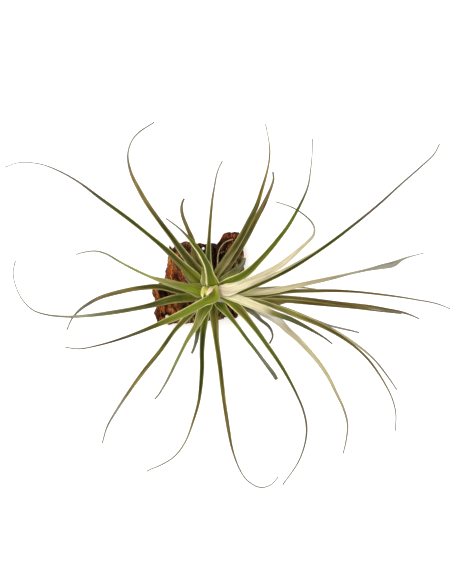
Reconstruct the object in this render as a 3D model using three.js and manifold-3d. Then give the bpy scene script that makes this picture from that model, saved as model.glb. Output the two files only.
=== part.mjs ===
// Air plant on a chip of bark: a flat rosette of narrow, channelled leaves with thread-fine
// tips, grown from a short stem that wiry roots hold to the bark.
// Millimetres, +Z up. The chip lies on its flat back at z = 0, the rosette's axis is the Z
// axis, and the rosette opens upwards. +X and +Y are the right and the top of the front view.
import * as THREE from "three";
import { mergeVertices } from "three/addons/utils/BufferGeometryUtils.js";
import Module from "manifold-3d";

const wasm = await Module();
wasm.setup();

// Rosette: leaves stand in tiers up the stem. Each tier's leaves lie on a cone about the axis,
// steeper and higher from tier to tier, so that leaves pass over each other without touching.
const LOWEST_TIER_Z = 15.6;
const LOWEST_SLOPE = 0.08;
const SLOPE_PER_TIER = 0.068;
const TIER_COUNT = 15;
const TIER_CLEARANCE = 0.4;
const CONE_RADIUS = 16;
const CHANNEL_FROM_RADIUS = 11;
const CHANNEL_SLOPE = 0.35;

// Blades: thickness at the root and the tip, and how the outer part of a blade arches over.
const BLADE_ROOT_THICKNESS = 0.8;
const BLADE_TIP_THICKNESS = 0.6;
const LOWEST_TIP_SLOPE = -0.15;
const TIP_SLOPE_PER_TIER = -0.03;
const FULL_ARCH_LENGTH = 60;
const STATIONS_PER_CONTROL = 1.6;
const SECTION_SPREAD = [-1, -0.4, 0.4, 1];

// Stem, from its foot on the bark to its tip under the heart of the rosette. A profile point
// is [radius, z], and a leaf's root stands a little off the stem's side.
const SEAT_Z = 12;
const STEM_PROFILE = [[4.9, 12.3], [4.1, 14], [3.8, 20], [3.3, 26], [2.9, 29.5], [1.9, 31]];
const STEM_TIP_RISE = 0.4;
const STEM_SIDES = 20;
const LEAF_ROOT_GAP = 0.4;

// Bark chip: outline from above, thickness, and the hollows and humps of its face.
const BARK_CENTRE = [-6, 3];
const BARK_FACE_Z = 10.5;
const BARK_RIM_DROP = 3;
const BARK_SIDES = 60;
const BARK_RINGS = [0.14, 0.28, 0.42, 0.55, 0.67, 0.78, 0.88, 0.96];
const BARK_RIM_RAGGEDNESS = 1;
const BARK_RIM_RHYTHM = 2.1;
const BARK_BACK_INSET = 0.97;
const BARK_GRAIN_HEIGHT = 0.8;
const BARK_GRAIN_SPACING = 5.5;
const BARK_GRAIN_LEAN = 0.35;
const BARK_GRAIN_WANDER = 1.3;
const BARK_GRAIN_WANDER_LENGTH = 4;
const SEAT_RADIUS = 6;
const SEAT_BLEND = 5;
const BARK_OUTLINE = [
  [17.5, 3], [17, 10.5], [16.7, 17], [16.8, 23], [16.2, 27.2], [14.4, 29.4], [11, 29.3],
  [7.4, 29.2], [6.2, 28.2], [5.2, 25.8],
  [3.5, 23.5], [-6.5, 23.7], [-11, 24.8], [-16, 24], [-19, 21], [-20.3, 23], [-20.5, 20.5],
  [-21.5, 12.5], [-22.8, 6.6], [-26, 3.5], [-28.8, 0.5], [-28.5, -2.2], [-26.7, -8],
  [-28.3, -11], [-26.5, -15.5], [-20.5, -16.6], [-16.8, -16.3], [-7.2, -15.8], [4.2, -14.3],
  [10, -12.5], [12.8, -13.8], [14, -12.3], [15.5, -4.5],
];
const BARK_HUMPS = [
  { at: [-18, -8.8], height: 2.2, radius: 3.5 },
  { at: [-18.5, 1.5], height: 2.4, radius: 3 },
  { at: [-22, -2.2], height: -3.6, radius: 3.2 },
  { at: [0, 17.5], height: -2.6, radius: 6 },
  { at: [11, 26], height: 3.4, radius: 4.5 },
  { at: [-9, -12], height: 1.6, radius: 4 },
  { at: [-17.5, 12], height: 1.8, radius: 5 },
  { at: [9, -10], height: -2, radius: 4 },
];

// Pale round pins in the face of the chip, each loose in its own drilled hole.
const PIN_CLEARANCE = 0.3;
const PIN_DEPTH = 4;
const PIN_SHOULDER = 0.7;
const PIN_SIDES = 16;
const DRILL_LENGTH = 20;
const PINS = [
  { name: "bark_pin_lower", at: [-21.5, -13], radius: 1, proud: 1.1 },
  { name: "bark_pin_upper", at: [-3.4, 21.3], radius: 0.7, proud: 0.9 },
];

// Wiry roots, from the foot of the stem out over the bark.
const ROOT_RADIUS = 0.45;
const ROOT_CLEARANCE = 0.7;
const ROOT_SIDES = 8;
const ROOT_STEPS_PER_CONTROL = 3;
const ROOTS = [
  { name: "root_top", route: [
    [1.6, 5.2], [3.2, 9], [3.8, 14], [3.9, 17], [4.6, 20.5], [6.5, 23.5], [9, 25.2], [11.5, 26]] },
  { name: "root_left", route: [[-4.9, 2.2], [-8, 4.5], [-12, 5], [-15.5, 8], [-17, 13]] },
  { name: "root_lower", route: [[-2.6, -4.7], [-5, -8], [-9.5, -9.5], [-13, -12.5]] },
  { name: "root_right", route: [[5, -2], [8, -4.4], [11, -3.4], [13.2, -6.5]] },
];

// Leaves. A station is [x, y, width] seen from above, from the leaf's root out to its tip.
const LEAVES = [
  { name: "leaf_01", tier: 10, finish: "green", stations: [
    [-3.3, 2.5, 3.6], [-7, 6.1, 5.9], [-11, 10, 5], [-15.5, 14.4, 3.7], [-22, 20.8, 2.8],
    [-29.5, 27.1, 2.1], [-40, 35.5, 2.1], [-55, 46.5, 1.7], [-65, 54, 1.1], [-75, 59.7, 0.8],
    [-85, 63.4, 0.6], [-95.5, 64.1, 0.5], [-102.5, 61.9, 0.5]] },
  { name: "leaf_02", tier: 8, finish: "dark", stations: [
    [-2.2, 3.4, 2.6], [-5, 8.6, 5], [-7.8, 12, 4.8], [-10.5, 15.4, 4.3], [-14.5, 20.6, 3.4],
    [-19, 26.8, 2.9], [-25, 34.6, 2.5], [-31.3, 43.6, 2.4], [-36.2, 52.1, 2.1],
    [-39.8, 60.1, 1.6], [-41, 68.7, 0.9], [-38.8, 75.5, 0.8], [-35.3, 79.5, 0.8],
    [-28, 84.4, 0.6]] },
  { name: "leaf_03", tier: 6, finish: "brown", stations: [
    [-1.7, 4.2, 2.2], [-4, 9.5, 3.8], [-7, 16.5, 3.6], [-8.8, 25.7, 2.4], [-11.2, 31.3, 2],
    [-13.6, 37.4, 1.8], [-14.2, 41, 1.6], [-13.9, 44, 1.2], [-12.9, 46.2, 0.8]] },
  { name: "leaf_04", tier: 13, clasps: true, finish: "fresh", stations: [
    [1.45, 2.8, 6.8], [1, 4.3, 6.5], [0.5, 5.9, 5.7], [-0.1, 7.8, 4.6], [-1.2, 12.2, 3.7],
    [-2.6, 15.1, 3.2], [-4.9, 19.2, 2.7], [-7.6, 22.8, 2.4], [-10.2, 26, 1.8], [-14.9, 30.8, 1],
    [-18.5, 33.7, 0.8], [-21.9, 36.1, 0.6]] },
  { name: "leaf_05", tier: 9, finish: "green", stations: [
    [0, 4.4, 2.6], [-0.1, 9, 3.6], [-0.8, 14.5, 3.2], [-0.75, 19.6, 2.6], [-0.45, 26.3, 1.9],
    [0, 33, 1.6], [0.5, 39, 1.45], [1.25, 46.2, 1.25], [2.3, 52.5, 0.95], [3.4, 58.3, 0.8],
    [4.5, 61.5, 0.7], [6.2, 64.9, 0.6]] },
  { name: "leaf_06", tier: 7, finish: "olive", stations: [
    [1.3, 4.2, 2.4], [3.4, 8.6, 3.8], [8.2, 15.5, 4.1], [14.1, 24.5, 3.3], [20.1, 35.9, 2.8],
    [23.5, 43, 2.3], [25.7, 50, 1.8], [27.8, 57, 1.3], [29.3, 63.5, 1], [29.9, 70, 0.8],
    [29.3, 76, 0.6], [27.8, 83.5, 0.5]] },
  { name: "leaf_07", tier: 5, finish: "brown", stations: [
    [2.7, 3.5, 2.2], [5.5, 7.6, 3.4], [11, 15.5, 3.4], [18, 26.5, 3], [23.3, 36.5, 2.7],
    [27, 43.5, 2.4], [29.3, 48.6, 1.8], [31, 53, 1.4], [31.8, 56, 1.1], [31.5, 59.6, 0.8]] },
  { name: "leaf_08", tier: 6, finish: "silver", stations: [
    [3.3, 3.1, 2.4], [5.8, 5.2, 3.2], [10, 7.9, 3.4], [14, 10.9, 3], [16.5, 13.9, 2.1],
    [17.6, 16.6, 0.8]] },
  { name: "leaf_09", tier: 10, finish: "fresh", stations: [
    [3.5, 2.2, 2.6], [9, 4.4, 4], [15, 6.9, 3.9], [20, 10.3, 3.5], [25, 15.4, 2.8],
    [30, 20.9, 2.5], [33.2, 24.8, 2.3], [39.2, 32.8, 1.9], [45.8, 44.7, 1.3], [48.9, 52.3, 1],
    [50.2, 60.2, 0.7], [51, 68, 0.5], [51.3, 76, 0.5]] },
  { name: "leaf_10", tier: 12, clasps: true, finish: "cream", stations: [
    [4.15, 1.9, 2.8], [6, 0.8, 5.4], [8.6, 0.55, 6.5], [11, 1.1, 5.9], [15, 2.5, 5],
    [25, 7.2, 3.8], [35, 12.8, 3.1], [43, 19.3, 2.4], [49.2, 25, 1.8], [51.5, 27.7, 1.4],
    [52.1, 30.5, 1.1], [51, 33.8, 1], [46.6, 38.2, 0.8], [40.8, 41.8, 0.7], [33, 44.5, 0.6]] },
  { name: "leaf_11", tier: 9, finish: "dark", stations: [
    [4.1, 0, 2.2], [9, -0.8, 3], [15, 0, 3.2], [20, 2, 3.3], [30, 6.4, 3.1], [40.2, 11.5, 2.8],
    [50.3, 17.6, 2.2], [60.3, 24.3, 1.8], [72.1, 33.3, 1.5], [85, 43.9, 1.2], [95, 53, 1],
    [104.8, 61.6, 0.85], [112, 68.4, 0.7], [114.8, 73.5, 0.6]] },
  { name: "leaf_12", tier: 8, finish: "tan", stations: [
    [4.2, -0.4, 2], [10, -1.1, 2.4], [18, -1, 2.7], [30, -0.1, 3], [40, 1.9, 2.7],
    [50, 4.1, 2.4], [60, 6.3, 2], [70, 8.7, 1.4], [79, 10.7, 1.6], [85, 12, 2.5],
    [91.5, 13.4, 3], [95.5, 15.5, 1.5], [99, 16.9, 0.9], [107, 19, 0.5]] },
  { name: "leaf_13", tier: 6, finish: "brown", stations: [
    [4.5, -0.8, 2], [12, -2.2, 2.4], [24, -2.6, 2.6], [32, -1.2, 2.4], [40, -0.2, 2.2],
    [55, 0.1, 1.8], [63, 0.1, 1.6], [74, -0.5, 1.25], [86, -1.8, 1.15], [95, -3, 0.95],
    [103.5, -4.4, 0.8], [110, -5.5, 0.75], [115, -6.8, 0.65], [120.4, -8.9, 0.5]] },
  { name: "leaf_14", tier: 5, finish: "olive", stations: [
    [4.5, -1.1, 2], [12, -2.6, 2.3], [22, -2.9, 2.3], [32.5, -2.9, 2.1], [45, -3.7, 2],
    [65, -6.2, 2], [80, -7.9, 2], [89, -9.4, 1.7], [96, -10.6, 1.3], [100.5, -12, 0.9],
    [104.8, -13.9, 0.6]] },
  { name: "leaf_15", tier: 3, finish: "brown", stations: [
    [4.6, -1.3, 2], [12, -3.1, 2.4], [22, -4.7, 3.3], [30, -5.2, 3.7], [35, -5.3, 3.4],
    [38, -5, 2.3], [45, -5.5, 2.2], [55, -6.6, 1.8], [70, -8.1, 1.4], [85, -10.1, 0.8],
    [96, -11.4, 0.5]] },
  { name: "leaf_16", tier: 7, finish: "fresh", stations: [
    [4.3, -1.5, 2.2], [12, -3.4, 2.5], [23.5, -5.2, 2.6], [35, -8.9, 2.7], [45, -12.8, 2.9],
    [55, -17, 2.2], [65, -22.5, 1.7], [73, -28.3, 1.3], [80, -35.3, 1.2], [87.3, -46.1, 0.9],
    [91.2, -54, 0.75], [93, -61.5, 0.65], [92.8, -70, 0.5]] },
  { name: "leaf_17", tier: 0, finish: "tan", stations: [
    [4.5, -1.5, 1.8], [12, -3.3, 2], [23.5, -5.6, 2], [45, -12.2, 1.8], [55, -16.2, 1.6],
    [65, -21.2, 1.4], [75, -28, 1.2], [82.5, -34.5, 1], [90.1, -44.1, 0.8], [93.8, -49.6, 0.6]] },
  { name: "leaf_18", tier: 1, tipSlope: -0.1, finish: "dark", stations: [
    [4.5, -1.4, 1.8], [12, -3.2, 2], [23.5, -5.2, 2], [37.5, -8.9, 1.9], [54, -15.2, 1.4],
    [60, -17.3, 1.1], [66, -18.8, 1], [70.6, -19.8, 0.9], [74.9, -20.9, 0.6]] },
  { name: "leaf_19", tier: 11, finish: "cream", stations: [
    [3.9, -1.1, 2.8], [8, -2.1, 3.6], [14, -4, 4.2], [20, -6.3, 4.3], [26, -8.8, 3.7],
    [32, -11.2, 3], [40, -14, 2.5], [50, -19.1, 1.6], [55, -22, 1.1], [58.3, -24.2, 0.9],
    [61, -26.4, 0.6]] },
  { name: "leaf_20", tier: 2, finish: "tan", stations: [
    [4.4, -1.8, 2], [12, -4.4, 2.6], [20, -7.6, 3.4], [28, -11.2, 4.4], [34.4, -15.2, 4.1],
    [39, -19.7, 3.3], [44.4, -24.5, 2.8], [53.4, -34.5, 2.2], [59, -42.5, 1.9],
    [63.5, -51.5, 1.5], [67.1, -59.3, 1.25], [69, -67, 1], [68.3, -75, 0.8], [67.1, -80.5, 0.6]] },
  { name: "leaf_21", tier: 4, finish: "dark", stations: [
    [4.2, -2.3, 1.8], [10, -4.9, 2.8], [16, -7, 3.5], [22, -10.9, 3.4], [25.6, -14.6, 2.2],
    [28.9, -17.2, 1.6], [30.8, -20, 1.2], [31.3, -23, 0.9], [29.8, -26.3, 0.8]] },
  { name: "leaf_22", tier: 10, finish: "fresh", stations: [
    [3.3, -2.2, 2.4], [6.5, -3.9, 3.4], [11, -6.5, 4.3], [15.2, -9.7, 4.4], [19, -14.2, 3.4],
    [23.1, -19.5, 2.7], [27, -24.9, 2.4], [33.9, -34.8, 2], [37.6, -40.8, 1.7],
    [42.7, -50.4, 1.3], [46.7, -60, 1.15], [48.2, -68.3, 1.1], [47.3, -76.5, 0.9],
    [43.9, -85.7, 0.75], [36.4, -96.8, 0.6]] },
  { name: "leaf_23", tier: 9, finish: "fresh", stations: [
    [2.3, -3.2, 3], [4.6, -6.2, 4.8], [8, -10.4, 3.4], [11.6, -14.8, 2.3], [15.1, -19.4, 1.9],
    [18.7, -24.3, 1.8], [22.6, -29.2, 1.7], [26.1, -33.9, 1.8], [29.8, -38.8, 2],
    [31.9, -41.7, 2.1], [33.3, -44.2, 1.5]] },
  { name: "leaf_24", tier: 8, finish: "olive", stations: [
    [0.7, -4.1, 2.6], [1.5, -7.5, 4], [2.2, -14.5, 4.2], [3.2, -24.5, 2.9], [4.9, -37, 2.5],
    [6.2, -48, 2.3], [7.2, -56, 2.1], [9.3, -69.5, 1.8], [11.3, -79.5, 1.2], [14.8, -89, 0.8],
    [18.5, -94.5, 0.7], [25, -98.2, 0.7], [30.3, -97, 0.6], [34.2, -93, 0.5]] },
  { name: "leaf_25", tier: 6, finish: "dark", stations: [
    [-0.7, -4.4, 2.4], [-1.6, -9.5, 3.4], [-3.3, -19.5, 3.2], [-4, -29.5, 2.6], [-4, -39.5, 2.4],
    [-5.5, -54.5, 1.7], [-8.2, -64.4, 1.3], [-12.4, -75.5, 0.9], [-17.5, -82.5, 0.75],
    [-24, -86.8, 0.7], [-30, -89.4, 0.6]] },
  { name: "leaf_26", tier: 4, finish: "dark", stations: [
    [-1.2, -4.6, 2], [-3.4, -13, 2.4], [-6, -20, 2.1], [-6.8, -24.5, 2], [-7.6, -27.4, 1.5],
    [-8.5, -29.8, 1.3], [-9.2, -31.3, 0.9]] },
  { name: "leaf_27", tier: 11, clasps: true, finish: "silver", stations: [
    [-0.35, -2.5, 3], [-1.3, -6.2, 5.8], [-3.8, -10.5, 5.4], [-7, -17.5, 3.2],
    [-11.4, -24.5, 2.1], [-13.7, -29, 1.7], [-16.4, -34.5, 1.6], [-21.3, -44.5, 1.25],
    [-23.9, -49, 1], [-25.8, -52, 0.85], [-27.5, -53.9, 0.7]] },
  { name: "leaf_28", tier: 7, finish: "dark", stations: [
    [-2.8, -3, 2.6], [-6, -6.6, 4], [-11, -12.5, 3.4], [-17.5, -19.5, 2.3], [-24.7, -29.6, 2.2],
    [-32.5, -39.3, 2.1], [-39.9, -49.4, 1.7], [-46.6, -59.5, 1.3], [-51.5, -68, 0.9],
    [-53.9, -76, 0.6]] },
  { name: "leaf_29", tier: 14, clasps: true, finish: "fresh", stations: [
    [3.4, 2.85, 0.9], [3.05, 1, 2.7], [2.5, -1.45, 5], [1.15, -3.75, 5.7], [-2, -5.35, 5.2],
    [-6, -7.25, 4.6], [-14, -11.5, 3.9], [-25, -16.3, 2.6], [-35, -20.4, 1.8], [-45, -24, 1.3],
    [-55, -26.9, 0.9], [-65, -28.8, 0.7], [-72, -28.1, 0.6]] },
  { name: "leaf_30", tier: 9, finish: "silver", stations: [
    [-4, -1.2, 2.8], [-8, -2.8, 4.4], [-18, -4, 4.2], [-30, -7.2, 2.8], [-37, -8.7, 2.4],
    [-48, -10.6, 2.3], [-60, -12.2, 1.8], [-70, -12.8, 1.3], [-81, -11.9, 0.9],
    [-88.3, -9.5, 0.7], [-93.4, -4.7, 0.6], [-97, 2.3, 0.5], [-98.4, 9, 0.5], [-97.4, 15, 0.5]] },
  { name: "leaf_31", tier: 6, finish: "dark", stations: [
    [-4.4, -0.4, 2.2], [-9, -1, 2.6], [-14.5, -0.5, 2.5], [-25, 2.1, 2.9], [-35, 1.5, 2.5],
    [-45, -0.4, 2.3], [-55, -3.3, 2], [-60, -5.9, 1.8], [-65, -9.3, 1.4], [-69, -13.7, 0.9],
    [-71.7, -19.4, 0.6]] },
  { name: "leaf_32", tier: 12, clasps: true, finish: "silver", stations: [
    [-3.8, 0.1, 5.4], [-5.5, 0.2, 7.2], [-9, 1.1, 5.4], [-13, 2.1, 4.3], [-17.5, 3.2, 3.6],
    [-22.4, 4.7, 3.1], [-25.7, 5.7, 2.3], [-29.5, 7, 1.5], [-37, 10.4, 1.3], [-45.3, 14.8, 1.1],
    [-51.7, 18.5, 1], [-57, 19.9, 0.8], [-62.9, 19.3, 0.7], [-66.9, 18.2, 0.5]] },
  { name: "leaf_33", tier: 4, finish: "silver", stations: [
    [4.5, 0.1, 1.4], [12, 0.3, 2], [25, 1, 1.9], [35, 1.6, 1.7], [45, 1.8, 1], [53, 1, 0.5]] },
  { name: "leaf_34", tier: 7, finish: "dark", stations: [
    [-3.7, 1.7, 2.6], [-7, 3.9, 4.2], [-9.7, 6.4, 4.3], [-12, 9.5, 3.6], [-14.6, 13.2, 2.6],
    [-19, 18, 1.6], [-24, 22.6, 0.5]] },
  { name: "leaf_35", tier: 11, clasps: true, finish: "fresh", stations: [
    [-2.6, 3, 2.2], [-3.6, 5, 2.8], [-3.4, 8, 2], [-3.1, 10.5, 1.4], [-3.2, 13, 0.9],
    [-3.6, 15.5, 0.5]] },
];

// Young leaves of the heart, still rolled. A station is [x, y, z, width].
const HEART_THICKNESS = 1;
const HEART_LEAVES = [
  { name: "heart_leaf_01", finish: "heart", stations: [
    [-1.6, -0.5, 32, 1], [-2.6, 0, 36, 1], [-3.45, 0.6, 39.2, 1.1], [-3.9, -0.6, 41.2, 1.1],
    [-3.85, -2.1, 42.4, 1], [-3.6, -3.6, 43, 0.5]] },
  { name: "heart_leaf_02", finish: "pale_heart", stations: [
    [0.6, 1.4, 32.2, 1], [0.55, 1.3, 35.5, 1], [0.4, 1.05, 38.6, 1.5], [-0.2, 0.1, 41, 1.8],
    [-1.1, -1.2, 42.6, 1.3], [-1.75, -2.3, 43.2, 0.6]] },
  { name: "heart_leaf_03", finish: "pale_heart", stations: [
    [-0.68, 0.95, 32.3, 1], [-1.2, 0.9, 35.4, 1], [-1.6, 0.9, 38.2, 1.2],
    [-2.05, 0.4, 40.2, 1.2], [-2.25, -0.5, 41.2, 1.1], [-2.2, -1.4, 41.6, 0.5]] },
];

const FINISHES = {
  green: { color: "#59721f", roughness: 0.55 },
  fresh: { color: "#6b8420", roughness: 0.5 },
  dark: { color: "#3f4a17", roughness: 0.6 },
  olive: { color: "#6a6424", roughness: 0.6 },
  brown: { color: "#6e5a2a", roughness: 0.65 },
  tan: { color: "#b5ab82", roughness: 0.65 },
  cream: { color: "#dcd3b0", roughness: 0.6 },
  silver: { color: "#7f8f52", roughness: 0.6 },
  heart: { color: "#b9bd62", roughness: 0.5 },
  pale_heart: { color: "#ead9b8", roughness: 0.5 },
  stem: { color: "#7a6a45", roughness: 0.8 },
  root: { color: "#a98b5e", roughness: 0.8 },
  bark: { color: "#6b3216", roughness: 0.9 },
  pin: { color: "#c8b49a", roughness: 0.5 },
};

function smoothstep(low, high, value) {
  const t = Math.min(1, Math.max(0, (value - low) / (high - low)));
  return t * t * (3 - 2 * t);
}

function namedMesh(name, geometry, finish) {
  const mesh = new THREE.Mesh(
    geometry,
    new THREE.MeshStandardMaterial({ ...FINISHES[finish], metalness: 0 }),
  );
  mesh.name = name;
  return mesh;
}

// Each tier's slope and height on the axis, stacked so that blades clear each other at the stem.
function tierCones() {
  const cones = [];
  let height = LOWEST_TIER_Z;
  for (let tier = 0; tier < TIER_COUNT; tier++) {
    const slope = LOWEST_SLOPE + SLOPE_PER_TIER * tier;
    const upright = Math.sqrt(1 + slope * slope);
    if (tier > 0) height += (BLADE_ROOT_THICKNESS + TIER_CLEARANCE) * upright;
    cones.push({ slope, height });
  }
  return cones;
}

const CONES = tierCones();

// A closed solid from a row of sections with the same number of corners each, the upper face's
// corners first. Its two faces are split into triangles alike.
function loft(sections) {
  const corners = sections[0].length;
  const positions = sections.flat().flatMap((corner) => corner);
  const indices = [];
  for (let row = 0; row < sections.length - 1; row++) {
    for (let corner = 0; corner < corners; corner++) {
      const next = (corner + 1) % corners;
      const a = row * corners + corner;
      const b = row * corners + next;
      const c = a + corners;
      const d = b + corners;
      const upperFace = corner < corners / 2;
      if (upperFace) indices.push(a, d, b, a, c, d);
      else indices.push(a, c, b, b, c, d);
    }
  }
  const last = (sections.length - 1) * corners;
  for (let corner = 0; corner < corners / 2 - 1; corner++) {
    const across = corners - 1 - corner;
    for (const [start, flip] of [[0, true], [last, false]]) {
      const quad = [start + corner, start + corner + 1, start + across - 1, start + across];
      if (flip) quad.reverse();
      indices.push(quad[0], quad[2], quad[1], quad[0], quad[3], quad[2]);
    }
  }
  const geometry = new THREE.BufferGeometry();
  geometry.setAttribute("position", new THREE.Float32BufferAttribute(positions, 3));
  geometry.setIndex(indices);
  return geometry;
}

function stemRadius(z) {
  const above = STEM_PROFILE.findIndex(([, level]) => level > z);
  if (above < 1) return STEM_PROFILE[STEM_PROFILE.length - 1][0];
  const [lowRadius, lowZ] = STEM_PROFILE[above - 1];
  const [highRadius, highZ] = STEM_PROFILE[above];
  return lowRadius + ((highRadius - lowRadius) * (z - lowZ)) / (highZ - lowZ);
}

// A leaf's stations with its root set just off the side of the stem, unless it clasps the heart.
function rootedStations({ stations, tier, clasps }) {
  if (clasps) return stations;
  const [[x, y, width], ...rest] = stations;
  const reach = stemRadius(CONES[tier].height) + LEAF_ROOT_GAP;
  const scale = reach / Math.hypot(x, y);
  return [[x * scale, y * scale, width], ...rest];
}

// Points along a leaf's plan curve, with width, heading and path length past the cone zone.
function planStations(stations) {
  const controls = stations.map(([x, y, width]) => new THREE.Vector3(x, y, width));
  const curve = new THREE.CatmullRomCurve3(controls, false, "centripetal");
  const count = Math.round(stations.length * STATIONS_PER_CONTROL);
  const rows = [];
  let outer = 0;
  for (let i = 0; i <= count; i++) {
    const at = curve.getPoint(i / count);
    const ahead = curve.getTangent(i / count);
    const heading = new THREE.Vector2(ahead.x, ahead.y).normalize();
    const radius = Math.hypot(at.x, at.y);
    const before = rows[i - 1];
    if (before && radius > CONE_RADIUS) {
      const inside = Math.max(0, CONE_RADIUS - before.radius);
      outer += Math.max(0, Math.hypot(at.x - before.x, at.y - before.y) - inside);
    }
    rows.push({ x: at.x, y: at.y, width: at.z, heading, radius, outer, along: i / count });
  }
  return rows;
}

// Height and slope of the middle of a blade: up its tier's cone, then over in one arch.
function bladeArch(leaf, row, outerLength) {
  const { slope, height } = CONES[leaf.tier];
  if (row.outer === 0) return { z: height + slope * row.radius, slope };
  const tierTip = leaf.tipSlope ?? LOWEST_TIP_SLOPE + TIP_SLOPE_PER_TIER * leaf.tier;
  const bend = (tierTip - slope) * Math.min(1, outerLength / FULL_ARCH_LENGTH);
  const done = row.outer / outerLength;
  return {
    z: height + slope * CONE_RADIUS + row.outer * (slope + bend * (done - (done * done) / 3)),
    slope: slope + bend * (2 * done - done * done),
  };
}

function leafMesh(leaf) {
  const rows = planStations(rootedStations(leaf));
  const outerLength = rows[rows.length - 1].outer;
  const cone = CONES[leaf.tier];
  const sections = rows.map((row) => {
    const arch = bladeArch(leaf, row, outerLength);
    const open = smoothstep(CHANNEL_FROM_RADIUS, CONE_RADIUS, row.radius);
    const thin = BLADE_ROOT_THICKNESS + (BLADE_TIP_THICKNESS - BLADE_ROOT_THICKNESS) * row.along;
    const depth = thin * Math.sqrt(1 + arch.slope * arch.slope);
    const upper = SECTION_SPREAD.map((spread) => {
      const offset = (spread * row.width) / 2;
      const x = row.x - row.heading.y * offset;
      const y = row.y + row.heading.x * offset;
      const coneLift = cone.slope * (Math.hypot(x, y) - row.radius);
      const channelLift = CHANNEL_SLOPE * Math.abs(offset);
      return [x, y, arch.z + coneLift * (1 - open) + channelLift * open];
    });
    const lower = upper.map(([x, y, z]) => [x, y, z - depth]).reverse();
    return [...upper, ...lower];
  });
  return namedMesh(leaf.name, loft(sections), leaf.finish);
}

// A rolled young leaf: a slim tapered blade that follows its stations through space.
function heartLeafMesh(leaf) {
  const points = leaf.stations.map(([x, y, z]) => new THREE.Vector3(x, y, z));
  const widths = leaf.stations.map(([, , , width], i) => new THREE.Vector3(i, width, 0));
  const curve = new THREE.CatmullRomCurve3(points, false, "centripetal");
  const taper = new THREE.CatmullRomCurve3(widths, false, "centripetal");
  const count = leaf.stations.length * 2;
  const sections = [];
  for (let i = 0; i <= count; i++) {
    const at = curve.getPoint(i / count);
    const ahead = curve.getTangent(i / count);
    const width = taper.getPoint(i / count).y;
    const side = new THREE.Vector3(-ahead.y, ahead.x, 0).normalize();
    const outward = new THREE.Vector3().crossVectors(side, ahead).normalize();
    const half = (HEART_THICKNESS * Math.min(1, width)) / 2;
    const corner = (spread, lift) => at.clone()
      .addScaledVector(side, (spread * width) / 2)
      .addScaledVector(outward, lift).toArray();
    const inner = [corner(-1, -half / 2), corner(-0.4, -half), corner(0.4, -half), corner(1, -half / 2)];
    const back = [corner(1, half / 2), corner(0.4, half), corner(-0.4, half), corner(-1, half / 2)];
    sections.push([...inner, ...back]);
  }
  return namedMesh(leaf.name, loft(sections), leaf.finish);
}

function stemMesh() {
  const profile = STEM_PROFILE.map(([radius, z]) => new THREE.Vector2(radius, z));
  profile.unshift(new THREE.Vector2(0, STEM_PROFILE[0][1]));
  profile.push(new THREE.Vector2(0, STEM_PROFILE[STEM_PROFILE.length - 1][1] + STEM_TIP_RISE));
  const geometry = new THREE.LatheGeometry(profile, STEM_SIDES);
  geometry.rotateX(Math.PI / 2);
  return namedMesh("stem", geometry, "stem");
}

// Height of the bark's face over (x, y): humps and grain, level where the stem stands.
function barkFaceZ(x, y) {
  let z = BARK_FACE_Z;
  for (const { at, height, radius } of BARK_HUMPS) {
    const away = Math.hypot(x - at[0], y - at[1]) / radius;
    z += height * Math.exp(-away * away);
  }
  const across = (2 * Math.PI * (x + BARK_GRAIN_LEAN * y)) / BARK_GRAIN_SPACING;
  const wander = BARK_GRAIN_WANDER * Math.sin(y / BARK_GRAIN_WANDER_LENGTH);
  z += BARK_GRAIN_HEIGHT * Math.sin(across + wander);
  const seat = 1 - smoothstep(SEAT_RADIUS, SEAT_RADIUS + SEAT_BLEND, Math.hypot(x, y));
  return z + (SEAT_Z - z) * seat;
}

// The outline walked in equal steps.
function barkRim() {
  const corners = BARK_OUTLINE.map(([x, y]) => new THREE.Vector2(x, y));
  corners.push(corners[0].clone());
  const path = new THREE.Path(corners);
  return path.getSpacedPoints(BARK_SIDES).slice(0, BARK_SIDES);
}

function solidOf(geometry) {
  const bare = geometry.clone();
  bare.deleteAttribute("normal");
  bare.deleteAttribute("uv");
  const merged = mergeVertices(bare, 1e-4);
  return new wasm.Manifold(new wasm.Mesh({
    numProp: 3,
    vertProperties: merged.attributes.position.array,
    triVerts: new Uint32Array(merged.index.array),
  }));
}

function geometryOf(solid) {
  const { vertProperties, triVerts } = solid.getMesh();
  const geometry = new THREE.BufferGeometry();
  geometry.setAttribute("position", new THREE.Float32BufferAttribute(vertProperties, 3));
  geometry.setIndex(Array.from(triVerts));
  return geometry;
}

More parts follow.
